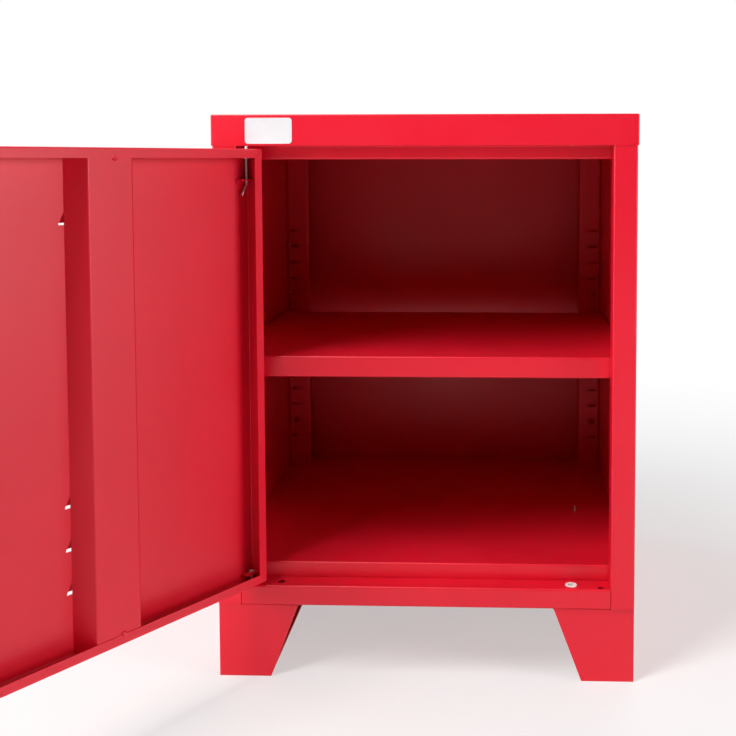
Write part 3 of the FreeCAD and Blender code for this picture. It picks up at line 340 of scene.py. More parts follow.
@dataclass(frozen=True)
class Finish:
    """One finish: its colours and how its surface varies.

    Attributes:
        name: Name of the material.
        colour: Main colour, linear.
        shade: Colour of the deeper patches, linear.
        roughness: Lowest and highest roughness.
        metallic: 1 for bare metal.
        specular: Specular level.
        coat: Weight of a clear top layer.
        grain_scale: Grains per metre.
        grain_depth: Depth of the grain in metres.
        wave: Share of the broad waves in the grain.
        cloud_scale: Patches per metre.
        dust: How much dust lies on level surfaces.
    """

    name: str
    colour: tuple[float, float, float]
    shade: tuple[float, float, float]
    roughness: tuple[float, float]
    metallic: float = 0.0
    specular: float = 0.5
    coat: float = 0.0
    grain_scale: float = 400.0
    grain_depth: float = 0.00003
    wave: float = 0.5
    cloud_scale: float = 5.0
    dust: float = 0.0

    def build(self) -> bpy.types.Material:
        """Make the material.

        Returns:
            A node-based material with this finish.
        """
        material = bpy.data.materials.new(self.name)
        material.use_nodes = True
        material.diffuse_color = (*self.colour, 1.0)
        tree = material.node_tree
        shader = tree.nodes["Principled BSDF"]
        shader.inputs["Metallic"].default_value = self.metallic
        shader.inputs["Specular IOR Level"].default_value = self.specular
        shader.inputs["Coat Weight"].default_value = self.coat
        shader.inputs["Coat Roughness"].default_value = COAT_ROUGHNESS
        self._colour(tree, shader)
        self._roughness(tree, shader)
        self._grain(tree, shader)
        return material

    def _colour(self, tree: bpy.types.NodeTree, shader: bpy.types.Node) -> None:
        """Mix the two colours in soft patches and lay the dust over them.

        Args:
            tree: Node tree of the material.
            shader: Its Principled BSDF.
        """
        cloud = placed_effect(tree, Effect.CLOUD, {"Scale": self.cloud_scale})
        mix = tree.nodes.new("ShaderNodeMix")
        mix.data_type = "RGBA"
        mix.inputs["A"].default_value = (*self.colour, 1.0)
        mix.inputs["B"].default_value = (*self.shade, 1.0)
        tree.links.new(cloud.outputs["Value"], mix.inputs["Factor"])
        dust = placed_effect(tree, Effect.DUST, {"Amount": self.dust})
        over = tree.nodes.new("ShaderNodeMix")
        over.data_type = "RGBA"
        over.inputs["B"].default_value = DUST_COLOUR
        tree.links.new(mix.outputs["Result"], over.inputs["A"])
        tree.links.new(dust.outputs["Mask"], over.inputs["Factor"])
        tree.links.new(over.outputs["Result"], shader.inputs["Base Color"])

    def _roughness(self, tree: bpy.types.NodeTree, shader: bpy.types.Node) -> None:
        """Let the gloss change slowly over the surface.

        Args:
            tree: Node tree of the material.
            shader: Its Principled BSDF.
        """
        low, high = self.roughness
        scale = self.cloud_scale * GLOSS_PATCHES
        cloud = placed_effect(tree, Effect.CLOUD, {"Scale": scale, "Low": low, "High": high})
        tree.links.new(cloud.outputs["Value"], shader.inputs["Roughness"])

    def _grain(self, tree: bpy.types.NodeTree, shader: bpy.types.Node) -> None:
        """Add the fine unevenness as a bump.

        Args:
            tree: Node tree of the material.
            shader: Its Principled BSDF.
        """
        grain = placed_effect(tree, Effect.GRAIN, {"Scale": self.grain_scale, "Wave": self.wave})
        bump = tree.nodes.new("ShaderNodeBump")
        bump.inputs["Distance"].default_value = self.grain_depth
        tree.links.new(grain.outputs["Height"], bump.inputs["Height"])
        tree.links.new(bump.outputs["Normal"], shader.inputs["Normal"])


@dataclass
class Finishes:
    """Every finish of the cabinet.

    Attributes:
        paint: Powder coat of the sheet metal.
        zinc: Plated fasteners, pins, clips, lock rods and cam plate.
        spring: Wire of the hinge spring.
        nylon: Bushes and sockets.
        label: Film of the label.
        plastic: The handle and its plate.
        chrome: The key cylinder.
        built: The materials made so far, by material slot.
    """

    paint: Finish = Finish("red_powder_coat", (0.74, 0.003, 0.023), (0.69, 0.0026, 0.020),
                           (0.34, 0.42), grain_scale=520.0, grain_depth=0.00009,
                           cloud_scale=3.5, dust=0.02)
    zinc: Finish = Finish("bright_zinc", (0.78, 0.79, 0.78), (0.64, 0.65, 0.65),
                          (0.28, 0.42), metallic=1.0, grain_scale=2200.0,
                          grain_depth=0.00002, cloud_scale=60.0)
    spring: Finish = Finish("oiled_wire", (0.34, 0.335, 0.33), (0.22, 0.215, 0.21),
                            (0.28, 0.42), metallic=1.0, grain_scale=3000.0,
                            grain_depth=0.00001, cloud_scale=90.0)
    nylon: Finish = Finish("white_nylon", (0.88, 0.87, 0.84), (0.80, 0.79, 0.76),
                           (0.36, 0.48), grain_scale=1500.0, grain_depth=0.00002,
                           cloud_scale=80.0)
    label: Finish = Finish("label_film", (0.76, 0.76, 0.77), (0.72, 0.72, 0.74),
                           (0.18, 0.24), coat=0.4, grain_scale=900.0,
                           grain_depth=0.00001, cloud_scale=25.0)
    plastic: Finish = Finish("black_moulding", (0.018, 0.018, 0.020), (0.012, 0.012, 0.013),
                             (0.38, 0.52), grain_scale=2600.0, grain_depth=0.00006,
                             wave=0.2, cloud_scale=30.0, dust=0.03)
    chrome: Finish = Finish("chromed_plug", (0.78, 0.78, 0.79), (0.72, 0.72, 0.74),
                            (0.08, 0.16), metallic=1.0, grain_scale=1800.0,
                            grain_depth=0.000005, cloud_scale=70.0)
    built: dict[Slot, bpy.types.Material] = field(default_factory=dict)

    def build(self) -> None:
        """Make the shared node groups and then the materials."""
        build_grain()
        build_cloud()
        build_dust()
        by_slot = {Slot.PAINT: self.paint, Slot.ZINC: self.zinc, Slot.SPRING: self.spring,
                   Slot.NYLON: self.nylon, Slot.LABEL: self.label, Slot.PLASTIC: self.plastic,
                   Slot.CHROME: self.chrome}
        for slot, finish in by_slot.items():
            self.built[slot] = finish.build()

    def dress(self, frame: dict) -> None:
        """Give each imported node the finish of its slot.
        """
        for part in frame["record"]["subparts"]:
            node = frame["nodes"][part["node"]]
            material = self.built[Slot(part["material_slot"])]
            if not node.material_slots:
                node.data.materials.append(material)
            for slot in node.material_slots:
                slot.material = material
            LOG.info("%s is finished in %s", part["node"], material.name)


def edges_at(verts: Iterable[bmesh.types.BMVert]) -> list[bmesh.types.BMEdge]:
    """List the edges that touch any of these vertices, each once."""
    return list(dict.fromkeys(edge for vert in verts for edge in vert.link_edges))


def faces_at(verts: Iterable[bmesh.types.BMVert]) -> list[bmesh.types.BMFace]:
    """List the faces that touch any of these vertices, each once."""
    return list(dict.fromkeys(face for vert in verts for face in vert.link_faces))


def rounded(mesh: bmesh.types.BMesh, edges: list[bmesh.types.BMEdge], size: float,
            segments: int) -> None:
    """Round some edges.

    Args:
        mesh: Mesh that they are in.
        edges: The edges.
        size: How far the rounding reaches from each edge.
        segments: Number of flats that make the rounding.
    """
    bmesh.ops.bevel(mesh, geom=edges, offset=size, segments=segments, affect="EDGES",
                    profile=0.5, material=-1)


def lathe(mesh: bmesh.types.BMesh, outline: list[tuple[float, float]], steps: int) -> None:
    """Spin an outline right round the z axis.

    Args:
        mesh: Mesh to add to.
        outline: Radius and height of each corner; it starts and ends on the axis.
        steps: Number of steps in the full turn.
    """
    verts = [mesh.verts.new((radius, 0.0, height)) for radius, height in outline]
    edges = [mesh.edges.new(pair) for pair in zip(verts, verts[1:])]
    bmesh.ops.spin(mesh, geom=verts + edges, cent=(0.0, 0.0, 0.0), axis=(0.0, 0.0, 1.0),
                   angle=math.tau, steps=steps, use_merge=True)


def facing(origin: Vector, outward: Vector, across: Vector) -> Matrix:
    """Place something that is drawn with its face towards +z.

    Args:
        origin: Where its own origin goes.
        outward: Direction that +z turns to.
        across: Direction that +x turns to, at right angles to the first.

    Returns:
        The matrix that places it.
    """
    turn = Matrix((across, outward.cross(across), outward)).transposed()
    return Matrix.Translation(origin) @ turn.to_4x4()


def in_scene(name: str, data: bpy.types.ID) -> bpy.types.Object:
    """Make an object at the origin and add it to the scene.

    Args:
        name: Name of the object.
        data: Its mesh, camera or light.

    Returns:
        The new object.
    """
    thing = bpy.data.objects.new(name, data)
    bpy.context.scene.collection.objects.link(thing)
    return thing


def finished_piece(name: str, mesh: bmesh.types.BMesh, material: bpy.types.Material,
                   body: Body) -> bpy.types.Object:
    """Turn a bmesh into a piece of the cabinet.

    Args:
        name: Name of the piece.
        mesh: Its shape, already in place. It is freed.
        material: Its finish.
        body: The body it moves with.

    Returns:
        The new object.
    """
    bmesh.ops.remove_doubles(mesh, verts=mesh.verts, dist=MERGE_DISTANCE)
    bmesh.ops.recalc_face_normals(mesh, faces=mesh.faces)
    data = bpy.data.meshes.new(name)
    mesh.to_mesh(data)
    mesh.free()
    data.materials.append(material)
    data.set_sharp_from_angle(angle=SHARP_ANGLE)
    piece = in_scene(name, data)
    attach(piece, body.value)
    LOG.info("made %s, which rides on the %s", name, body.value)
    return piece


@dataclass
class BlankLabel:
    """The blank label on the cap: a film with round corners and a low rim.

    Attributes:
        corner: Radius of the corners.
        corner_segments: Flats in each round corner.
        rim: Width of the rim.
        sink: How far the middle lies below the rim.
    """

    corner: float = 0.004
    corner_segments: int = 6
    rim: float = 0.0012
    sink: float = 0.0002

    def build(self, finishes: Finishes) -> bpy.types.Object:
        """Make the label in place of the plain plate.

        Args:
            finishes: The cabinet's finishes.

        Returns:
            The label.
        """
        low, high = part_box("label_plate")
        mesh = bmesh.new()
        bmesh.ops.create_cube(mesh, size=1.0)
        bmesh.ops.scale(mesh, vec=high - low, verts=mesh.verts)
        bmesh.ops.translate(mesh, vec=(low + high) / 2, verts=mesh.verts)
        corners = [edge for edge in mesh.edges
                   if abs((edge.verts[0].co - edge.verts[1].co).y) > NEAR]
        rounded(mesh, corners, self.corner, self.corner_segments)
        front = [face for face in mesh.faces if face.normal.y < FACES_FRONT]
        rim = bmesh.ops.inset_region(mesh, faces=front, thickness=self.rim,
                                     use_even_offset=True)["faces"]
        middle = [face for face in front if face.is_valid and face not in rim]
        bmesh.ops.translate(mesh, vec=Vector((0.0, self.sink, 0.0)),
                            verts=list({vert for face in middle for vert in face.verts}))
        piece = finished_piece("blank_label", mesh, finishes.built[Slot.LABEL],
                               Body.CABINET)
        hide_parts("label_plate")
        return piece


@dataclass(frozen=True)
class OpenDoor:
    """Where the door stands: fittings are drawn on the shut door and swung open with it.

    Attributes:
        hinge: The hinge line in plan.
        swing: Turn from the shut door to where it stands, in degrees.
        face: The outside of the shut door, on the y axis.
        lock_across: The lock's centre line on the shut door, on the x axis.
        lock_height: Height of the lock's centre line.
    """

    hinge: tuple[float, float] = (-0.2357, -0.2935)
    swing: float = -122.3
    face: float = -0.300
    lock_across: float = 0.1965
    lock_height: float = 0.4225

    def outside(self, rise: float, height: float) -> Matrix:
        """Place something on the outer face of the open door, on the lock's centre line.

        Args:
            rise: How far it stands off the door's skin.
            height: How far above the lock it sits.

        Returns:
            The matrix that places it, with +x towards the hinge.
        """
        centre = Vector((*self.hinge, 0.0))
        turn = Matrix.Rotation(math.radians(self.swing), 4, "Z")
        spot = Vector((self.lock_across, self.face - rise, self.lock_height + height))
        shut = facing(spot, Vector((0.0, -1.0, 0.0)), Vector((-1.0, 0.0, 0.0)))
        return Matrix.Translation(centre) @ turn @ Matrix.Translation(-centre) @ shut


@dataclass(frozen=True)
class RecessedHead:
    """A round head with a rounded rim and a driver's or key's recess in its face.

    Attributes:
        radius: Radius of the head.
        height: Height of the head.
        rim: Size of the rounded rim.
        patch: Half sizes of the patch that holds the recess.
        arms: Half lengths of the recess's arms, counted in cells of the patch.
        depth: Depth of the recess.
        steepness: How much deeper than wide the sloping walls of the recess are.
        cells: Cells along each side of the patch.
        sides: Sides of the round head, which match the patch's edge.
        rim_segments: Flats in the rounded rim.
    """

    radius: float
    height: float
    rim: float
    patch: tuple[float, float]
    arms: tuple[tuple[int, int], ...]
    depth: float
    steepness: float = 5.0
    cells: int = 9
    sides: int = 36
    rim_segments: int = 4

    def draw(self, mesh: bmesh.types.BMesh, place: Matrix) -> None:
        """Add one head, with its foot at the place's origin.

        Args:
            mesh: Mesh to add to.
            place: Where the head goes.
        """
        earlier = set(mesh.verts)
        top = Matrix.Translation((0.0, 0.0, self.height))
        circle = bmesh.ops.create_circle(mesh, segments=self.sides, radius=self.radius,
                                         matrix=top)
        rim = edges_at(circle["verts"])
        grid = bmesh.ops.create_grid(mesh, x_segments=self.cells, y_segments=self.cells,
                                     size=1.0)
        shape = top @ Matrix.Diagonal((*self.patch, 1.0, 1.0))
        bmesh.ops.transform(mesh, matrix=shape, verts=grid["verts"])
        cells = faces_at(grid["verts"])
        border = [edge for edge in edges_at(grid["verts"]) if edge.is_boundary]
        bmesh.ops.bridge_loops(mesh, edges=rim + border)
        recess = [cell for cell in cells if self._in_recess(cell.calc_center_median())]
        bmesh.ops.inset_region(mesh, faces=recess, thickness=self.depth / self.steepness,
                               depth=-self.depth, use_even_offset=True)
        wall = bmesh.ops.extrude_edge_only(mesh, edges=rim)["geom"]
        foot = [item for item in wall if isinstance(item, bmesh.types.BMVert)]
        foot_edges = [item for item in wall if isinstance(item, bmesh.types.BMEdge)]
        bmesh.ops.translate(mesh, vec=Vector((0.0, 0.0, -self.height)), verts=foot)
        bmesh.ops.contextual_create(mesh, geom=foot_edges)
        rounded(mesh, rim, self.rim, self.rim_segments)
        bmesh.ops.transform(mesh, matrix=place,
                            verts=[vert for vert in mesh.verts if vert not in earlier])

    def _in_recess(self, spot: Vector) -> bool:
        """Tell whether a cell of the patch belongs to the recess.

        Args:
            spot: Middle of the cell.

        Returns:
            True where one of the arms covers it.
        """
        across = abs(round(spot.x * self.cells / (2 * self.patch[0])))
        along = abs(round(spot.y * self.cells / (2 * self.patch[1])))
        return any(across <= wide and along <= high for wide, high in self.arms)


@dataclass
class CrossScrews:
    """Pan-head screws with a cross recess, in the handle's plate and in the rear of the cap.

    Attributes:
        head: Head of every screw.
        shank: Radius of every shank.
        shank_end: Radius of a shank's end, as a share of its own.
        shank_sides: Sides of a round shank.
        plate: How far the handle's plate stands off the door.
        plate_reach: Distance of its two screws above and below the lock.
        plate_tail: Length of their shanks.
        cap_places: Where the cap's screws are, on the x axis.
        cap_rear: Rear face of the cap, on the y axis.
        cap_height: Height of its screws.
        cap_tail: Length of their shanks.
    """

    head: RecessedHead = RecessedHead(radius=0.0038, height=0.0018, rim=0.0010,
                                      patch=(0.0018, 0.0018), arms=((1, 3), (3, 1)),
                                      depth=0.0010)
    shank: float = 0.0020
    shank_end: float = 0.8
    shank_sides: int = 20
    plate: float = 0.0025
    plate_reach: float = 0.038
    plate_tail: float = 0.0075
    cap_places: tuple[float, ...] = (-0.190, 0.0, 0.190)
    cap_rear: float = 0.3012
    cap_height: float = 0.7395
    cap_tail: float = 0.0036

    def build(self, finishes: Finishes, door: OpenDoor) -> list[bpy.types.Object]:
        """Make both sets of screws.

        Args:
            finishes: The cabinet's finishes.
            door: Where the door stands.

        Returns:
            The two sets.
        """
        plate = [door.outside(self.plate, side * self.plate_reach) for side in (-1, 1)]
        spots = [Vector((x, self.cap_rear, self.cap_height)) for x in self.cap_places]
        rear = [facing(spot, Vector((0.0, 1.0, 0.0)), Vector((1.0, 0.0, 0.0))) for spot in spots]
        return [self._set("handle_plate_screws", "plate_screws", plate, self.plate_tail,
                          Body.DOOR, finishes),
                self._set("cap_rear_screws", "cap_screws", rear, self.cap_tail,
                          Body.CABINET, finishes)]

    def _set(self, name: str, node: str, places: list[Matrix], tail: float, body: Body,
             finishes: Finishes) -> bpy.types.Object:
        """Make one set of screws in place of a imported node.

        Args:
            name: Name of the set.
            node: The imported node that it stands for.
            places: Where each head sits.
            tail: Length of each shank.
            body: The body they move with.
            finishes: The cabinet's finishes.

        Returns:
            The set.
        """
        mesh = bmesh.new()
        for place in places:
            self.head.draw(mesh, place)
            shank = bmesh.ops.create_cone(mesh, cap_ends=True, segments=self.shank_sides,
                                          radius1=self.shank * self.shank_end,
                                          radius2=self.shank, depth=tail)
            below = place @ Matrix.Translation((0.0, 0.0, -tail / 2))
            bmesh.ops.transform(mesh, matrix=below, verts=shank["verts"])
        piece = finished_piece(name, mesh, finishes.built[Slot.ZINC], body)
        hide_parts(node)
        return piece


@dataclass
class LeverHandle:
    """The handle on the outside of the door: a turned hub with a spindle, and a tapering lever.

    Attributes:
        foot: How far the hub's foot stands off the door.
        outer: How far its outer face stands off the door.
        radius: Radius of the hub.
        bore: Radius of the bore for the key cylinder.
        bore_depth: Depth of that bore.
        groove: Width and depth of the groove round the hub's foot.
        ease: Size of the hub's eased corners.
        hub_steps: Steps round the hub.
        spindle: Radius of the spindle through the door.
        spindle_end: Where the spindle ends; below 0 is inside the door.
        reach: Distances from the lock where the lever starts and ends.
        width: Width of the lever at its start.
        thickness: Thickness of the lever at its start.
        tip_width: Width at the tip, as a share.
        tip_thickness: Thickness at the tip, as a share.
        taper: Power of the taper; above 1 most of it lies near the tip.
        cuts: Cuts along the lever that let it taper.
        tip_corner: Radius of the tip's round corners.
        tip_segments: Flats in each of them.
        edge: Size of the lever's rounded edges.
        edge_segments: Flats in each of them.
    """

    foot: float = 0.0028
    outer: float = 0.0246
    radius: float = 0.015
    bore: float = 0.00815
    bore_depth: float = 0.014
    groove: float = 0.0008
    ease: float = 0.0004
    hub_steps: int = 48
    spindle: float = 0.0056
    spindle_end: float = -0.0125
    reach: tuple[float, float] = (0.0115, 0.092)
    width: float = 0.018
    thickness: float = 0.009
    tip_width: float = 0.78
    tip_thickness: float = 0.72
    taper: float = 1.4
    cuts: int = 8
    tip_corner: float = 0.0055
    tip_segments: int = 6
    edge: float = 0.0024
    edge_segments: int = 4

    def build(self, finishes: Finishes, door: OpenDoor) -> bpy.types.Object:
        """Make the handle in place of the plain lever.

        Args:
            finishes: The cabinet's finishes.
            door: Where the door stands.

        Returns:
            The handle.
        """
        mesh = bmesh.new()
        self._lever(mesh)
        self._hub(mesh)
        bmesh.ops.transform(mesh, matrix=door.outside(0.0, 0.0), verts=mesh.verts)
        piece = finished_piece("lever_handle", mesh, finishes.built[Slot.PLASTIC],
                               Body.HANDLE)
        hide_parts("handle")
        return piece

    def _lever(self, mesh: bmesh.types.BMesh) -> None:
        """Shape the lever, which narrows and thins towards its tip.

        Args:
            mesh: Empty mesh to shape it in.
        """
        start, end = self.reach
        middle = Matrix.Translation(((start + end) / 2, 0.0, self.outer - self.thickness / 2))
        size = Matrix.Diagonal((end - start, self.width, self.thickness, 1.0))
        bar = bmesh.ops.create_cube(mesh, size=1.0, matrix=middle @ size)["verts"]
        long_edges = [edge for edge in edges_at(bar)
                      if abs(edge.verts[0].co.x - edge.verts[1].co.x) > self.width]
        bmesh.ops.subdivide_edges(mesh, edges=long_edges, cuts=self.cuts, use_grid_fill=True)
        for vert in mesh.verts:
            share = max(0.0, (vert.co.x - start) / (end - start)) ** self.taper
            drop = self.outer - vert.co.z
            vert.co.y *= 1.0 + (self.tip_width - 1.0) * share
            vert.co.z = self.outer - drop * (1.0 + (self.tip_thickness - 1.0) * share)
        tip_corners = [edge for edge in mesh.edges
                       if min(vert.co.x for vert in edge.verts) > end - NEAR
                       and abs(edge.verts[0].co.y - edge.verts[1].co.y) < NEAR]
        rounded(mesh, tip_corners, self.tip_corner, self.tip_segments)
        rims = [edge for edge in mesh.edges
                if edge.is_manifold and edge.calc_face_angle() > RIM_ANGLE
                and max(vert.co.x for vert in edge.verts) > start + NEAR]
        rounded(mesh, rims, self.edge, self.edge_segments)

    def _hub(self, mesh: bmesh.types.BMesh) -> None:
        """Turn the hub, with the bore for the key cylinder, and its spindle.

        Args:
            mesh: Mesh to add to.
        """
        seat = self.outer - self.bore_depth
        bore = [(0.0, seat), (self.bore, seat), (self.bore, self.outer - self.ease),
                (self.bore + self.ease, self.outer)]
        crown = [(self.radius - 3 * self.ease, self.outer),
                 (self.radius - self.ease, self.outer - self.ease),
                 (self.radius, self.outer - 3 * self.ease)]
        groove = [(self.radius, self.foot + 3 * self.groove),
                  (self.radius - self.groove, self.foot + 2 * self.groove),
                  (self.radius - self.groove, self.foot + self.groove),
                  (self.radius, self.foot + self.groove)]
        spindle = [(self.radius, self.foot), (self.spindle, self.foot),
                   (self.spindle, self.spindle_end + self.ease),
                   (self.spindle - self.ease, self.spindle_end), (0.0, self.spindle_end)]
        lathe(mesh, bore + crown + groove + spindle, self.hub_steps)


@dataclass
class KeyPlug:
    """The key cylinder in the handle's hub, with its keyway.

    Attributes:
        head: The cylinder, whose recess is the keyway.
        foot: How far its foot stands off the door.
    """

    head: RecessedHead = RecessedHead(radius=0.008, height=0.0154, rim=0.0007,
                                      patch=(0.0030, 0.0058), arms=((1, 3),), depth=0.006)
    foot: float = 0.0107

    def build(self, finishes: Finishes, door: OpenDoor) -> bpy.types.Object:
        """Make the plug in place of the plain cylinder.

        Args:
            finishes: The cabinet's finishes.
            door: Where the door stands.

        Returns:
            The plug.
        """
        mesh = bmesh.new()
        self.head.draw(mesh, door.outside(self.foot, 0.0))
        piece = finished_piece("key_plug", mesh, finishes.built[Slot.CHROME],
                               Body.KEY)
        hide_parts("lock_cylinder")
        return piece


@dataclass
class BarrelNut:
    """The hexagon nut that clamps the handle's barrel inside the door, with its corners eased.

    Attributes:
        flats: Width across the flats.
        side_cuts: Cuts along each side, which let the corners be eased.
        bore: Radius of the bore.
        bore_sides: Sides of the round bore, as many as the cut hexagon has.
        near: Its outer face, measured from the door's skin; below 0 is inside.
        far: Its inner face, measured in the same way.
        crown: Distance from the axis where the corners start to fall away.
        slope: How fast they fall.
    """

    flats: float = 0.027
    side_cuts: int = 7
    bore: float = 0.010
    bore_sides: int = 48
    near: float = -0.0010
    far: float = -0.0080
    crown: float = 0.0128
    slope: float = 0.5

    def build(self, finishes: Finishes, door: OpenDoor) -> bpy.types.Object:
        """Make the nut in place of the plain one.

        Args:
            finishes: The cabinet's finishes.
            door: Where the door stands.

        Returns:
            The nut.
        """
        mesh = bmesh.new()
        hexagon = bmesh.ops.create_circle(mesh, segments=6,
                                          radius=self.flats / 2 / math.cos(HEXAGON_TURN),
                                          matrix=Matrix.Rotation(HEXAGON_TURN, 4, "Z"))
        bmesh.ops.subdivide_edges(mesh, edges=edges_at(hexagon["verts"]), cuts=self.side_cuts)
        bmesh.ops.create_circle(mesh, segments=self.bore_sides, radius=self.bore)
        bmesh.ops.bridge_loops(mesh, edges=mesh.edges)
        bmesh.ops.translate(mesh, vec=Vector((0.0, 0.0, self.far)), verts=mesh.verts)
        raised = bmesh.ops.extrude_face_region(mesh, geom=list(mesh.faces),
                                               use_keep_orig=True)["geom"]
        bmesh.ops.translate(mesh, vec=Vector((0.0, 0.0, self.near - self.far)),
                            verts=[item for item in raised
                                   if isinstance(item, bmesh.types.BMVert)])
        for vert in mesh.verts:
            past = max(0.0, vert.co.to_2d().length - self.crown) * self.slope
            vert.co.z += past if vert.co.z < (self.near + self.far) / 2 else 0.0
        bmesh.ops.transform(mesh, matrix=door.outside(0.0, 0.0), verts=mesh.verts)
        piece = finished_piece("barrel_nut", mesh, finishes.built[Slot.ZINC],
                               Body.DOOR)
        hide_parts("lock_nut")
        return piece


@dataclass
class HingeSpring:
    """The open coil on the upper hinge pin, which shortens while the pin is pulled down.

    Attributes:
        radius: Radius of the coil, to the middle of the wire.
        wire: Radius of the wire.
        wire_sides: Sides of the round wire.
        low: Height of the coil's lower end.
        length: Length of the coil at rest.
        pulled_length: Its length when the pin is right down; not used.
        turns: Number of turns.
        steps: Steps in each turn.
    """

    radius: float = 0.0027
    wire: float = 0.0005
    wire_sides: int = 10
    low: float = 0.6749
    length: float = 0.0269
    pulled_length: float = 0.0149
    turns: int = 9
    steps: int = 24

    def build(self, finishes: Finishes, door: OpenDoor) -> bpy.types.Object:
        """Make the spring in place of the plain one.

        Args:
            finishes: The cabinet's finishes.
            door: Where the door stands.

        Returns:
            The spring.
        """
        mesh = bmesh.new()
        centre = Vector((*door.hinge, self.low + self.wire))
        upright = Matrix.Rotation(math.radians(90.0), 4, "X")
        start = Matrix.Translation(centre + Vector((self.radius, 0.0, 0.0))) @ upright
        ring = bmesh.ops.create_circle(mesh, cap_ends=True, segments=self.wire_sides,
                                       radius=self.wire, matrix=start)["verts"]
        steps = self.turns * self.steps
        rise = (self.length - 2 * self.wire) / steps
        bmesh.ops.spin(mesh, geom=ring + edges_at(ring) + faces_at(ring), cent=centre,
                       axis=(0.0, 0.0, 1.0), dvec=(0.0, 0.0, rise),
                       angle=math.tau * self.turns, steps=steps)
        piece = finished_piece("hinge_coil", mesh, finishes.built[Slot.SPRING],
                               Body.DOOR)
        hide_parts("hinge_spring")
        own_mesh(piece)
        return piece


@dataclass(frozen=True)
class Lamp:
    """A soft rectangular lamp.

    Attributes:
        name: Its name.
        place: Where it hangs.
        aim: What it points at.
        size: Its width and height.
        power: Its power in watts.
    """

    name: str
    place: tuple[float, float, float]
    aim: tuple[float, float, float]
    size: tuple[float, float]
    power: float

    def hang(self) -> None:
        """Add the lamp to the scene."""
        data = bpy.data.lights.new(self.name, "AREA")
        data.shape = "RECTANGLE"
        data.size, data.size_y = self.size
        data.energy = self.power
        way = Vector(self.aim) - Vector(self.place)
        lamp = in_scene(self.name, data)
        lamp.location = self.place
        lamp.rotation_euler = way.to_track_quat("-Z", "Y").to_euler()


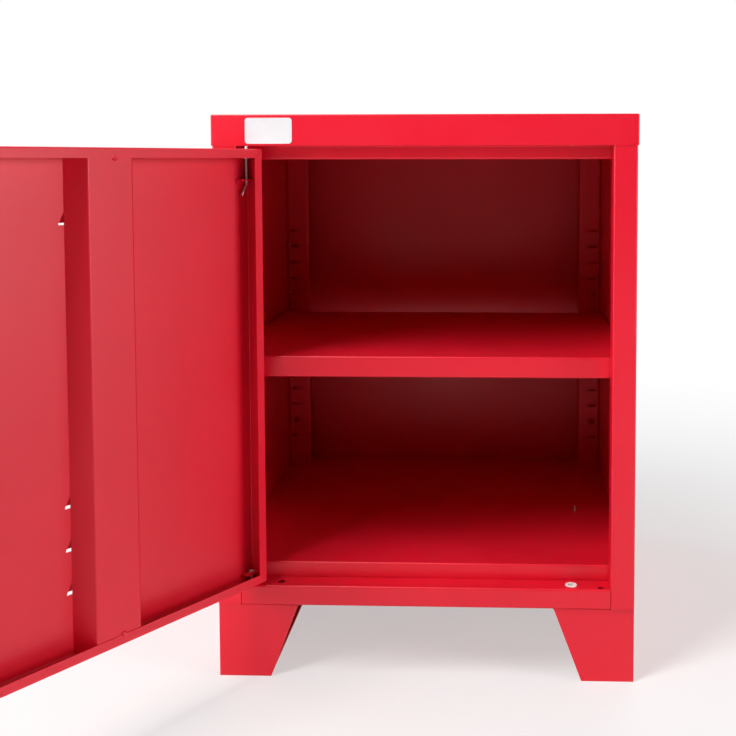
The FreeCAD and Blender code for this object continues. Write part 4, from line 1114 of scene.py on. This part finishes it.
@dataclass
class Studio:
    """Floor, lamps and camera.

    Attributes:
        eye: Where the camera stands.
        yaw: How far the camera turns to the left, in degrees.
        pitch: How far it looks down, in degrees.
        roll: How far it leans, in degrees.
        focal: Focal length in pixels of the photograph.
        centre: Pixel of the photograph that the camera points at.
        picture: Width and height of the photograph in pixels.
        sensor: Width of the camera's sensor in millimetres.
        nearest: Distance at which the camera starts to see.
        floor_radius: Radius of the floor.
        floor_sides: Sides of the round floor.
        floor_grey: Brightness of the floor, linear.
        floor_roughness: Its roughness.
        floor_specular: Its specular level.
        fade: Distances between which the floor turns white.
        glow: Share of plain white that the floor shows at those two distances.
        front_edge: The y of the directions in which the room is darkest and lightest.
        ambient: Light from the dark front of the room and from its pale sides.
        sheen: What gloss shows of the front of the room and of its sides.
        lamps: Every lamp.
    """

    eye: tuple[float, float, float] = (0.0975, -1.7632, 0.70025)
    yaw: float = 2.2
    pitch: float = 3.57
    roll: float = -0.07
    focal: float = 1116.5
    centre: tuple[float, float] = (455.2, 229.45)
    picture: float = 736.0
    sensor: float = 36.0
    nearest: float = 0.05
    floor_radius: float = 6.0
    floor_sides: int = 96
    floor_grey: float = 0.84
    floor_roughness: float = 0.8
    floor_specular: float = 0.1
    fade: tuple[float, float] = (0.5, 1.9)
    glow: tuple[float, float] = (0.5, 1.0)
    front_edge: tuple[float, float] = (-0.70, 0.05)
    ambient: tuple[float, float] = (0.01, 0.12)
    sheen: tuple[float, float] = (0.05, 0.8)
    lamps: tuple[Lamp, ...] = (
        Lamp("key_lamp", (-1.16, -1.61, 2.81), (0.0, -0.15, 0.45), (0.8, 2.0), 73.0),
        Lamp("low_lamp", (-2.40, -2.16, 1.12), (0.0, -0.15, 0.45), (1.0, 1.0), 46.0),
        Lamp("side_lamp", (3.55, -1.62, 1.12), (-0.2, -0.4, 0.42), (1.7, 1.9), 82.0),
        Lamp("left_lamp", (-2.6, 1.0, 1.9), (0.0, 0.0, 0.40), (1.6, 1.6), 16.0),
        Lamp("rear_lamp", (1.2, 2.8, 1.9), (0.0, 0.0, 0.40), (1.8, 1.6), 38.0),
    )

    def build(self) -> None:
        """Set up everything around the cabinet."""
        self._camera()
        self._floor()
        self._world()
        for lamp in self.lamps:
            lamp.hang()
        bpy.context.scene.view_settings.view_transform = "Standard"

    def _camera(self) -> None:
        """Stand the camera where the photograph was taken from."""
        data = bpy.data.cameras.new("camera")
        data.sensor_width = self.sensor
        data.lens = self.focal / self.picture * data.sensor_width
        data.shift_x = (self.picture / 2 - self.centre[0]) / self.picture
        data.shift_y = (self.centre[1] - self.picture / 2) / self.picture
        data.clip_start = self.nearest
        turn = Matrix.Rotation(math.radians(self.yaw), 4, "Z")
        tilt = Matrix.Rotation(math.radians(90.0 - self.pitch), 4, "X")
        lean = Matrix.Rotation(math.radians(self.roll), 4, "Z")
        camera = in_scene("camera", data)
        camera.matrix_world = Matrix.Translation(self.eye) @ turn @ tilt @ lean
        bpy.context.scene.camera = camera

    def _floor(self) -> None:
        """Lay a pale floor."""
        mesh = bmesh.new()
        bmesh.ops.create_circle(mesh, cap_ends=True, segments=self.floor_sides,
                                radius=self.floor_radius)
        data = bpy.data.meshes.new("studio_floor")
        mesh.to_mesh(data)
        mesh.free()
        data.materials.append(self._floor_finish())
        in_scene("studio_floor", data)

    def _floor_finish(self) -> bpy.types.Material:
        """Make the floor's material, which fades to plain white away from the cabinet.

        Returns:
            The material.
        """
        material = bpy.data.materials.new("pale_floor")
        material.use_nodes = True
        tree = material.node_tree
        shader = tree.nodes["Principled BSDF"]
        shader.inputs["Base Color"].default_value = (*[self.floor_grey] * 3, 1.0)
        shader.inputs["Roughness"].default_value = self.floor_roughness
        shader.inputs["Specular IOR Level"].default_value = self.floor_specular
        plain = tree.nodes.new("ShaderNodeEmission")
        place = tree.nodes.new("ShaderNodeTexCoord")
        length = tree.nodes.new("ShaderNodeVectorMath")
        length.operation = "LENGTH"
        tree.links.new(place.outputs["Object"], length.inputs[0])
        far = mapped(tree, length.outputs["Value"], self.fade, self.glow)
        mix = tree.nodes.new("ShaderNodeMixShader")
        share = combined(tree, Arithmetic.PRODUCT, far, background_rays(tree))
        tree.links.new(share, mix.inputs["Fac"])
        tree.links.new(shader.outputs[0], mix.inputs[1])
        tree.links.new(plain.outputs[0], mix.inputs[2])
        tree.links.new(mix.outputs[0], tree.nodes["Material Output"].inputs["Surface"])
        return material

    def _world(self) -> None:
        """Show white all round; the room itself is pale at the sides and dark in front."""
        world = bpy.data.worlds.new("studio")
        bpy.context.scene.world = world
        world.use_nodes = True
        tree = world.node_tree
        sky = tree.nodes["Background"]
        sky.inputs["Color"].default_value = WHITE
        place = tree.nodes.new("ShaderNodeTexCoord")
        split = tree.nodes.new("ShaderNodeSeparateXYZ")
        tree.links.new(place.outputs["Object"], split.inputs["Vector"])
        rays = tree.nodes.new("ShaderNodeLightPath").outputs
        lit = mapped(tree, split.outputs["Y"], self.front_edge, self.ambient)
        shown = mapped(tree, split.outputs["Y"], self.front_edge, self.sheen)
        room = blended(tree, rays["Is Glossy Ray"], lit, shown)
        clear = blended(tree, rays["Is Transmission Ray"], room, 1.0)
        level = blended(tree, rays["Is Camera Ray"], clear, 1.0)
        tree.links.new(level, sky.inputs["Strength"])


def main() -> None:
    """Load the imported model, dress it and set it in the studio."""
    logging.basicConfig(level=logging.INFO, format="%(name)s: %(message)s")
    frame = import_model()
    finishes = Finishes()
    finishes.build()
    finishes.dress(frame)
    BlankLabel().build(finishes)
    door = OpenDoor()
    CrossScrews().build(finishes, door)
    LeverHandle().build(finishes, door)
    KeyPlug().build(finishes, door)
    BarrelNut().build(finishes, door)
    HingeSpring().build(finishes, door)
    Studio().build()


if __name__ == "__main__":
    main()
